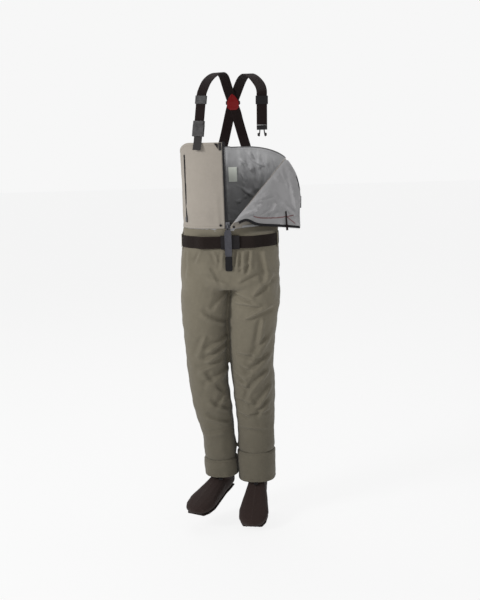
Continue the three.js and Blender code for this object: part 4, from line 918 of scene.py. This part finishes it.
bibRight = buildBibRight()
bibBack = buildBibBack()
bibLeft = buildBibLeft()
print("bib panels made")


# opened front panel
flapSetup = {
    "zipLength": 290, "open": 172, "strip": 13, "thickness": 2.2,
    "roll": 9, "droop": 16, "rows": 96, "columns": 72,
}
flapFolds = [
    (60, 1180, 150, 1230, 10, 3), (120, 1150, 220, 1190, 10, 3), (90, 1145, 130, 1200, 9, 2.5), (170, 1290, 215, 1240, 9, 3),
    (200, 1300, 235, 1220, 8, 3), (230, 1260, 250, 1160, 9, 3), (40, 1150, 110, 1172, 9, 4), (150, 1140, 180, 1190, 9, 4),
    (110, 1200, 190, 1215, 9, 3), (210, 1180, 250, 1140, 8, 4),
]


def turned(vector, axis, degrees):
    return np.array(Quaternion(Vector(axis), math.radians(degrees)) @ Vector(vector))


foldLine = foldTop - foldFoot
foldLength = float(np.linalg.norm(foldLine))
foldDirection = foldLine / foldLength
zipCos = float(foldDirection[2])
zipSin = math.sqrt(1 - zipCos ** 2)
closedAway = np.array([0, 0, 1.0]) - foldDirection * zipCos
closedAway /= np.linalg.norm(closedAway)
openAway = turned(closedAway, foldDirection, flapSetup["open"])
flapOut = np.cross(openAway, foldDirection)
flapOut /= np.linalg.norm(flapOut)


def onZipEdge(along, inward=0.0):
    return np.array([along * zipSin - inward * zipCos, along * zipCos + inward * zipSin])


def hemPoint(t):
    start = onZipEdge(flapSetup["zipLength"])
    run = np.array([0.6, foldLength - 4]) - start
    length = np.linalg.norm(run)
    bulge = 30 * math.sin(math.pi * t ** 1.4)
    return start + run * t + np.array([run[1], -run[0]]) / length * bulge


def flapSpot(u, v, w=0.0):
    reach = max(0.0, min(1.0, u / 210))
    bow = flapSetup["roll"] * (1 - math.exp(-max(0.0, u) / 9)) * math.exp(-max(0.0, u) / 75)
    wave = 3.2 * math.sin(v / 43 + u / 90) * reach + 2.2 * math.sin(u / 24 + v / 70) * min(1, u / 40)
    point = foldFoot + openAway * u + foldDirection * v + flapOut * (w + 0.3 + bow + wave)
    point[2] -= flapSetup["droop"] * reach ** 1.6
    along = u * zipSin + v * zipCos
    astray = v - u * zipCos / max(zipSin, 0.01)
    point[2] += 17 * math.exp(-((along - 62) / 34) ** 2) * math.exp(-((astray / 60) ** 2))
    return point


def flapOuter(t):
    split = 0.56
    if t < split:
        return onZipEdge(26 + (flapSetup["zipLength"] - 26) * t / split, flapSetup["strip"])
    end = onZipEdge(flapSetup["zipLength"], flapSetup["strip"])
    s = (t - split) / (1 - split)
    edge = hemPoint(s)
    return edge + (end - hemPoint(0)) * (1 - s) ** 6


def buildFlap():
    grid = []
    for t in np.linspace(0, 1, flapSetup["rows"]):
        outer = flapOuter(t)
        inner = np.array([0.6, 20 + (foldLength - 24) * t])
        line = []
        for s in np.linspace(0, 1, flapSetup["columns"]):
            u, v = inner + (outer - inner) * s
            line.append(flapSpot(u, v))
        grid.append(line)
    grid = np.array(grid)[:, ::-1]
    piece = gridMesh("flap", grid, ["lining", "bibCloth"])
    points, normals = vertexArrays(piece)
    if float(np.mean(normals @ flapOut)) < 0:
        piece.data.flip_normals()
        points, normals = vertexArrays(piece)
    lift = noiseField(points, 0.018, 15) * 8 + noiseField(points, 0.045, 16) * 4.5 + noiseField(points, 0.1, 17) * 1.4
    away = (points - foldFoot) @ openAway
    lift *= smoothStep(away / 20)
    folds = [(*fold[:4], fold[4] * 0.75, fold[5] * 2) for fold in flapFolds]
    lift += foldHeights(points[:, 0], points[:, 2], folds) * smoothStep(away / 25)
    lift = np.where(lift < 0, np.maximum(lift * 0.3, -0.8), lift)
    setPoints(piece, points + normals * lift[:, None])
    thicken(piece, flapSetup["thickness"], inside=1)
    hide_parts("flap_panel")
    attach(piece, "flap")
    return piece


flapPiece = buildFlap()


# zip halves: teeth stand in a row along each tape
teeth = {"pitch": 2.6, "long": 1.7, "wide": 4.0, "tall": 2.8}


def buildTeeth(name, line, side, out, body, replaced):
    line = np.array(line)
    travel = travelAlong(line)
    points, faces = [], []
    for at in np.arange(teeth["pitch"] / 2, travel[-1], teeth["pitch"]):
        centre, before, after = (
            np.array([np.interp(spot, travel, line[:, k]) for k in range(3)]) for spot in (at, at - 1, min(at + 1, travel[-1])))
        ahead = after - before
        ahead /= np.linalg.norm(ahead)
        first = len(points)
        for wide, long, tall in ((-1, 0.6, 0.55), (-0.55, 1, 1), (0.55, 0.8, 1), (1, 0.45, 0.6)):
            for sa, so in ((-1, -1), (1, -1), (1, 1), (-1, 1)):
                points.append(centre + side * wide * teeth["wide"] / 2 + ahead * sa * long * teeth["long"] / 2
                              + out * so * tall * teeth["tall"] / 2)
        faces += barFaces(first, 4)
    piece = makeMesh(name, toRow(points), faces, ["zipTeeth"], shade=False)
    work = bmesh.new()
    work.from_mesh(piece.data)
    bmesh.ops.recalc_face_normals(work, faces=work.faces)
    work.to_mesh(piece.data)
    work.free()
    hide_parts(*replaced)
    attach(piece, body)
    return piece


zipCentre = 3.0
zipLean = 0.0368  # radians
zipAxis = np.array([0, -math.sin(zipLean), math.cos(zipLean)])
zipStart = np.array([zipCentre, -128.0, 1104.0])
zipOut = np.array([0, -math.cos(zipLean), -math.sin(zipLean)])
zipTop = 325
rightTeethLine = [zipStart + zipAxis * d + zipOut * -1.0 for d in np.linspace(0, zipTop, 60)]
buildTeeth("rightTeeth", rightTeethLine, np.array([1.0, 0, 0]), zipOut, "waders", ["zip_chain_right"])
leftTeethLine = [flapSpot(*onZipEdge(a, 2.2), 0.9) for a in np.linspace(26, 290, 80)]
buildTeeth("leftTeeth", leftTeethLine, openAway * zipCos + foldDirection * zipSin, flapOut, "flap", ["zip_chain_left"])
tapeLine = [flapSpot(*onZipEdge(a, 8.6), 0.7) for a in np.linspace(30, 290, 90)]
strapAlong("leftTape", tapeLine, [flapOut] * 90, 9.4, 1.2, "zipTape", "flap", ["zip_tape_left"])
rightTapeLine = [zipStart + zipAxis * d + np.array([-6.1, 0.0, 0]) + zipOut * -1.0 for d in np.linspace(8, zipTop, 60)]
strapAlong("rightTape", rightTapeLine, [zipOut] * 60, 7.2, 1.3, "zipTape", "waders", ["zip_tape_right"])
print("opened panel and zip made")


# suspenders
def onUpperBack(x, height, out):
    curve = [(1440, 139.5), (1489, 136), (1530, 130.5), (1568, 121), (1600, 107.5), (1620, 94.5), (1640, 77)]
    back = lambda h: float(np.interp(h, [c[0] for c in curve], [c[1] for c in curve]))
    slope = (back(height + 16) - back(height - 16)) / 32
    face = np.array([0, 1, -slope]) / math.hypot(1, slope)
    return np.array([x, back(height), height]) + face * out, face


def onBackPanel(x, height, out=2.1):
    turn = 0.5 - turnAtX(x, height)
    along = torsoPoint(turn - 0.02, height) - torsoPoint(turn + 0.02, height)
    rise = torsoPoint(turn, height + 15) - torsoPoint(turn, height - 15)
    face = np.cross(rise, along)
    face /= np.linalg.norm(face)
    face *= math.copysign(1, face[1])
    return torsoPoint(turn, height, -out), face


def unit(v):
    v = np.array(v, dtype=float)
    return v / np.linalg.norm(v)


# the part of a facing that is square to the strap
def squareTo(direction, facing):
    return unit(np.array(facing) - direction * float(np.dot(facing, direction)))


rightFoot, rightDirection = np.array([-96.0, -128, 1428]), unit([18, 27, 172])
rightFace = squareTo(rightDirection, [-0.31, -0.95, 0.18])
leftFoot, leftDirection = np.array([139.0, -113, 1484]), unit([2, 10, 112])
leftFace = squareTo(leftDirection, [0.08, -0.99, 0.09])
crossOut = 1.7
rightStations = [(rightFoot + rightDirection * d, rightFace) for d in (69.3, 105, 140, 172)] + [
    ((-72, -92, 1618), (-0.22, -0.85, 0.45)), ((-60, -64, 1646), (-0.1, -0.6, 0.8)), ((-41, -26, 1667), (0, -0.25, 0.97)),
    ((-22, 15, 1675.9), (0, 0.1, 1)), ((-9, 49, 1664), (0, 0.5, 0.87)),
    onUpperBack(-2, 1636, -crossOut), onUpperBack(3, 1612, -crossOut), onUpperBack(15, 1568, -crossOut),
    onUpperBack(27, 1530, -crossOut), onUpperBack(36, 1489, -crossOut),
    onBackPanel(49, 1435), onBackPanel(60, 1395), onBackPanel(72, 1352)]
leftStations = [(leftFoot + leftDirection * d, leftFace) for d in (0, 38, 72, 92, 108, 120)] + [
    ((137, -86, 1620), (0.05, -0.85, 0.5)), ((127, -66, 1636), (0, -0.65, 0.76)), ((108, -36, 1656), (0, -0.35, 0.94)),
    ((86, 2, 1668), (0, 0, 1)), ((67, 42, 1657), (0, 0.45, 0.89)), ((54, 70, 1641), (0, 0.6, 0.8)),
    onUpperBack(40, 1614, crossOut), onUpperBack(19, 1568, crossOut), onUpperBack(6, 1530, crossOut), onUpperBack(-5, 1489, crossOut),
    onBackPanel(-19, 1435), onBackPanel(-30, 1395), onBackPanel(-42, 1352)]


def smoothPath(stations, count):
    points = np.array([s[0] for s in stations], dtype=float)
    faces = np.array([unit(s[1]) for s in stations])
    knots = np.concatenate([[0], np.cumsum(np.linalg.norm(np.diff(points, axis=0), axis=1) ** 0.5)])
    tangents = np.zeros_like(points)
    for i in range(len(points)):
        a, b = max(0, i - 1), min(len(points) - 1, i + 1)
        tangents[i] = (points[b] - points[a]) / (knots[b] - knots[a])
    line, look = [], []
    for t in np.linspace(0, knots[-1], count):
        k = min(len(points) - 2, int(np.searchsorted(knots, t, side="right") - 1))
        span = knots[k + 1] - knots[k]
        s = (t - knots[k]) / span
        line.append((2 * s ** 3 - 3 * s ** 2 + 1) * points[k] + (s ** 3 - 2 * s ** 2 + s) * span * tangents[k]
                    + (3 * s ** 2 - 2 * s ** 3) * points[k + 1] + (s ** 3 - s ** 2) * span * tangents[k + 1])
        look.append(unit(faces[k] * (1 - s) + faces[k + 1] * s))
    return np.array(line), np.array(look)


strapSize = {"width": 38, "thickness": 2.2}
for side, stations in (("right", rightStations), ("left", leftStations)):
    line, look = smoothPath(stations, 150)
    strapAlong(f"{side}Suspender", line, look, strapSize["width"], strapSize["thickness"], "strapWebbing", "waders",
               [f"suspender_{side}"], columns=11)


def yokeGrid(widths, out, rows=26, columns=17):
    heights = [w[0] for w in widths]
    grid = []
    for height in np.linspace(min(heights), max(heights), rows):
        width = float(np.interp(height, heights[::-1], [w[1] for w in widths][::-1]))
        grid.append([onUpperBack(17 + s * width / 2, height, out)[0] for s in np.linspace(-1, 1, columns)])
    return np.array(grid)


# height and width of the red shield where the suspenders cross
shieldWidths = [
    (1598, 3), (1594, 12), (1589, 21), (1583, 30), (1577, 37), (1571, 43),
    (1565, 46), (1553, 47), (1547, 45), (1543, 40), (1539, 32), (1536, 22),
]
shieldGrid = yokeGrid(shieldWidths, -crossOut - 1.85)
shield = gridMesh("yokeShield", shieldGrid[:, ::-1], ["redPatch"])
shieldPoints, shieldNormals = vertexArrays(shield)
edgeRise = np.array([min(1, (1 - abs(2 * c / 16 - 1)) * 6, r / 3, (25 - r) / 3) for r in range(26) for c in range(17)])
setPoints(shield, shieldPoints + shieldNormals * (0.9 * smoothStep(edgeRise))[:, None])
thicken(shield, 1.5, subdivide=1)
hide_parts("yoke_patch")
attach(shield, "waders")
print("suspenders made")


# tape sealing the waist seam on the inside
waistTape = {"height": 1109.5, "inset": 4.2, "width": 17, "thickness": 2.6}
tapeRing = [trouserPoint(t % 1, waistTape["height"], waistTape["inset"]) for t in np.linspace(0, 1, 181)]
tapeFacing = [p * [1, 1, 0] for p in tapeRing]
# the waist tape uses the lining lightened to offset the shade inside (painted light)
strapAlong("waistTape", tapeRing, tapeFacing, waistTape["width"], waistTape["thickness"], "innerLining", "waders")


# soft trim: a fine, slightly eased skin over the shape of a sewn piece
def easedSkin(name, node, material, body, voxel, smoothing=3, ruffle=0.0, scale=0.02):
    source = nodes[node]
    points = [source.matrix_world @ v.co for v in source.data.vertices]
    piece = makeMesh(name, points, [tuple(p.vertices) for p in source.data.polygons], [material])
    mergeAndEase(piece, voxel, smoothing)
    if ruffle:
        points, normals = vertexArrays(piece)
        setPoints(piece, points + normals * (noiseField(points, scale, 31) * ruffle)[:, None])
    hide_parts(node)
    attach(piece, body)
    return piece


# gravel guards over the ankles
guardFolds = {"rings": 34, "columns": 128, "flare": 2.6}


def buildGuard(side):
    low, high = guards["hem"][side], guards["top"][side]
    grid = []
    for height in np.linspace(low, high, guardFolds["rings"]):
        cx, cy, a, b = stationAt(trousers[side], height)
        share = (height - low) / (high - low)
        swell = guardFolds["flare"] + 1.8 * math.sin(math.pi * min(1, share * 1.15))
        swell -= 6.5 * float(smoothStep((height - high + 9) / 9))  # the top tucks in against the leg
        grid.append(ovalRing(cx, cy, a + swell, b + swell, height, guardFolds["columns"]))
    piece = gridMesh(f"gravelGuard{side.title()}", np.array(grid), ["trouserCloth", "lining"], closed=True)
    points, normals = vertexArrays(piece)
    middle = np.array(stationAt(trousers[side], low)[:2])
    if float(np.mean(np.sum(normals[:, :2] * (points[:, :2] - middle), axis=1))) < 0:
        piece.data.flip_normals()
        points, normals = vertexArrays(piece)
    angle = np.arctan2(points[:, 1] - middle[1], points[:, 0] - middle[0])
    band = smoothStep((points[:, 2] - low) / 8) * smoothStep((high - points[:, 2]) / 8)
    lift = noiseField(points, 0.02, 21) * 2.6 * band + noiseField(points, 0.05, 22) * 0.8
    gathers = smoothStep((low + 26 - points[:, 2]) / 22) * smoothStep((points[:, 2] - low) / 5)
    lift += 0.8 * np.sin(angle * 17 + points[:, 2] / 14) * gathers
    lift += 0.7 * smoothStep((low + 13 - points[:, 2]) / 1.2) + 0.7 * smoothStep((points[:, 2] - high + 9) / 1.2)
    setPoints(piece, points + normals * lift[:, None])
    thicken(piece, guards["thickness"], inside=1)
    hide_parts(f"gravel_guard_{side}")
    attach(piece, "waders")
    for label, height in (("Hem", low + 11.5), ("Top", high - 7.5)):
        cx, cy, a, b = stationAt(trousers[side], height)
        line = ovalRing(cx, cy, a + 5, b + 5, height, 160)
        layStitches(f"guard{side.title()}{label}Stitches", piece, list(line) + [line[0]], "waders",
                    thread="darkThread", limit=0.03)
    return piece


guardRight, guardLeft = buildGuard("right"), buildGuard("left")
for side in ("right", "left"):
    easedSkin(f"sole{side.title()}", f"foot_sole_{side}", "neoprene", "waders", 1.5, 8)
    easedSkin(f"ankleElastic{side.title()}", f"guard_elastic_{side}", "greyWebbing", "waders", 0.9, 1)
    easedSkin(f"foot{side.title()}", f"foot_upper_{side}", "neoprene", "waders", 2.2, 6,
              ruffle=1.1, scale=0.022)
print("guards and feet made")


# stitched joins on the feet: round the sole edge and down the middle of the instep
footShape = {
    "right": {"ankle": (-61, 0), "turnOut": -28, "toeDown": 12, "heelHeight": 68},
    "left": {"ankle": (78, 1), "turnOut": -5, "toeDown": 25.5, "heelHeight": 65},
    "length": 280, "heelBack": 63,
    "stations": [(0, 6, 22, 34), (0.025, 22, 10, 42), (0.08, 31, 3, 56), (0.2, 36, 0, 76), (0.34, 38, 0, 72), (0.48, 45, 0, 61),
                 (0.62, 52, 0, 54), (0.75, 58, 0, 49), (0.87, 54, 0, 43), (0.95, 41, 3, 37), (1, 12, 12, 26)],
}


def footPoint(side, across, forward, up):
    foot = footShape[side]
    turn = Matrix.Rotation(math.radians(foot["turnOut"]), 3, "Z") @ Matrix.Rotation(math.radians(foot["toeDown"]), 3, "X")
    return np.array(turn @ Vector((across, forward, up))) + np.array([*foot["ankle"], foot["heelHeight"]])


def forward(share):
    return footShape["heelBack"] - share * footShape["length"]


for side in ("right", "left"):
    foot = bpy.data.objects[f"foot{side.title()}"]
    shares, halves, lows, tops = (np.array(c, dtype=float) for c in zip(*footShape["stations"]))
    for edge in (-1, 1):
        line = [footPoint(side, edge * (np.interp(s, shares, halves) + 4), forward(s), np.interp(s, shares, lows) + 15)
                for s in np.linspace(0.04, 0.97, 60)]
        layStitches(f"foot{side.title()}Seam{'Inner' if edge > 0 else 'Outer'}", foot, line, "waders",
                    thread="darkThread", radius=0.55, limit=0.03)
    line = [footPoint(side, 0, forward(s), np.interp(s, shares, tops) + 6) for s in np.linspace(0.36, 0.97, 50)]
    layStitches(f"foot{side.title()}Instep", foot, line, "waders", thread="darkThread", radius=0.55, limit=0.03)


# belt
belt = {"height": 1059, "width": 45, "thickness": 2.6, "flatHalf": 88, "startX": -19, "endX": 23.3, "standOff": 5.0}
beltFront = -(stationAt(torsoStations, belt["height"])[2] + belt["standOff"])


def beltSpot(turn):
    point = torsoPoint(turn, belt["height"], -(0.3 + belt["thickness"] / 2))
    straight = 1 - float(smoothStep((abs(point[0]) - belt["flatHalf"]) / 40))
    if point[1] < 0:
        point[1] += (beltFront - belt["thickness"] / 2 - point[1]) * straight
    return point


beltTurns = np.linspace(turnAtX(belt["endX"], belt["height"]), 1 + turnAtX(belt["startX"], belt["height"]), 190)
beltLine = np.array([beltSpot(t % 1) for t in beltTurns])
beltFacing = np.cross(np.gradient(beltLine, axis=0), [0, 0, 1.0])
strapAlong("belt", beltLine, beltFacing, belt["width"], belt["thickness"], "beltWebbing", "waders",
           ["belt_webbing"], columns=13)
for name in ("left", "right", "back"):
    easedSkin(f"beltLoop{name.title()}", f"belt_loop_{name}", "trouserCloth", "waders", 0.9, 2,
              ruffle=0.4)
for name, node, finish, body, voxel, slotName in (
    ("sewnTab", "strap_tab_right", "greyWebbing", "waders", 0.7, "grey_webbing"),
    ("panelTab", "flap_socket_tab", "greyWebbing", "flap", 0.7, "grey_webbing"),
    ("accessoryLoop", "accessory_loop", "greyWebbing", "waders", 0.6, "grey_webbing"),
    ("hangingTab", "flap_hanging_tab", "strapWebbing", "flap", 0.6, "webbing"),
    ("careLabel", "care_label", "labelRibbon", "waders", 0.35, "label"),
):
    easedSkin(name, node, finish, body, voxel, 1)
print("belt and soft trim made")


# a fine coil down the middle of the right pocket's tape
pocketCoil = {"turn": 1 - 0.158, "from": 1134, "to": 1382, "width": 2.4, "thickness": 1.4}
coilLine = np.array([torsoPoint(pocketCoil["turn"], h, -2.3) for h in np.linspace(pocketCoil["from"], pocketCoil["to"], 60)])
strapAlong("pocketCoilRight", coilLine, coilLine * [1, 1, 0], pocketCoil["width"], pocketCoil["thickness"],
           "zipTeeth", "waders", columns=5)


# looks for the moulded pieces
looks = {
    "buckle": ["belt_socket", "belt_insert", "belt_prong_upper", "belt_prong_lower", "strap_socket_right", "strap_insert_right",
               "strap_prong_right_inner", "strap_prong_right_outer", "adjuster_right", "adjuster_left", "strap_plug_left",
               "strap_prong_left_inner", "strap_prong_left_outer", "flap_socket", "accessory_triangle", "snap_right", "snap_left",
               "lace_hook_right", "lace_hook_left", "yoke_keeper"],
    "zipMetal": ["zip_slider", "pocket_slider_right", "pocket_slider_left"],
    "pullGrey": ["zip_pull_tab"],
    "pullRubber": ["zip_pull_grip"],
    "zipTeeth": ["zip_bottom_stop"],
    "zipTape": ["pocket_zip_right", "pocket_zip_left", "pocket_zip_flap"],
}
bevels = {"buckle": 0.7, "zipMetal": 0.35, "pullGrey": 0.9, "pullRubber": 1.4, "zipTeeth": 0.4, "zipTape": 0.25}
for look, names in looks.items():
    for name in names:
        node = nodes[name]
        node.data.materials.clear()
        node.data.materials.append(finishes[look])
        edge = node.modifiers.new("edge", "BEVEL")
        edge.width = bevels[look] / 1000
        edge.segments = 3
        edge.limit_method = "ANGLE"
        edge.angle_limit = math.radians(32)
        edge.use_clamp_overlap = True
        even = node.modifiers.new("even", "WEIGHTED_NORMAL")
        even.keep_sharp = True
        for face in node.data.polygons:
            face.use_smooth = True
print("moulded pieces finished")


# seams and dark edging on the opened panel's lining
def panelRibbon(name, along, width, thickness, material, lift=1.6):
    line = np.array([flapSpot(u, v, lift) for u, v in along])
    tree = surfaceTree(flapPiece)
    seated = []
    for point in line:
        spot = tree.find_nearest(Vector(toRow([point])[0]))[0]
        seated.append(np.array(spot) * 1000 + flapOut * thickness * 0.3 + [0, 0, shoulderHeight])
    return strapAlong(name, seated, [flapOut] * len(seated), width, thickness, material, "flap", columns=5)


def betweenSpots(a, b, count=50, bend=0.0):
    a, b = np.array(a, dtype=float), np.array(b, dtype=float)
    side = np.array([-(b - a)[1], (b - a)[0]]) / np.linalg.norm(b - a)
    return [a + (b - a) * s + side * bend * math.sin(math.pi * s) for s in np.linspace(0, 1, count)]


panelRibbon("panelSeam", betweenSpots(onZipEdge(92, 34), onZipEdge(262, 48), bend=-6), 4.2, 0.9, "redSeam")
panelRibbon("panelSeamLower", betweenSpots(onZipEdge(236, 40), onZipEdge(270, 20)), 3.4, 0.9, "redSeam")
edgeSpots = [hemPoint(t) - np.array([1.2, 0]) for t in np.linspace(0.02, 0.97, 90)]
panelRibbon("panelHemBinding", edgeSpots, 6.0, 1.1, "lining")
panelRibbon("panelDarkEdge", [hemPoint(t) - np.array([0.4, 0]) for t in np.linspace(0.52, 0.72, 30)], 4.6, 1.6, "zipTape")
# floor
floorMesh = bpy.data.meshes.new("floor")
half = studio["floorSize"] / 2
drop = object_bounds()[0][2] - studio["floorDrop"]
corners = [(-half, -half, drop), (half, -half, drop), (half, half, drop), (-half, half, drop)]
floorMesh.from_pydata(corners, [], [(0, 1, 2, 3)])
floor = bpy.data.objects.new("floor", floorMesh)
bpy.context.scene.collection.objects.link(floor)
paper, paperTree, paperShader, paperPlace = startMaterial("floorPaper")
paperTone = noiseNode(paperTree, paperPlace.outputs["Object"], 0.6, 2, 0.5)
paperTree.links.new(rangeNode(paperTree, paperTone, 0.3, 0.7, 0.84, 0.86), paperShader.inputs["Roughness"])
paperShader.inputs["Base Color"].default_value = (studio["floorTone"],) * 3 + (1,)
paperShader.inputs["Emission Color"].default_value = (1, 1, 1, 1)
paperShader.inputs["Emission Strength"].default_value = studio["floorGlow"]
floorMesh.materials.append(paper)
print("floor made")
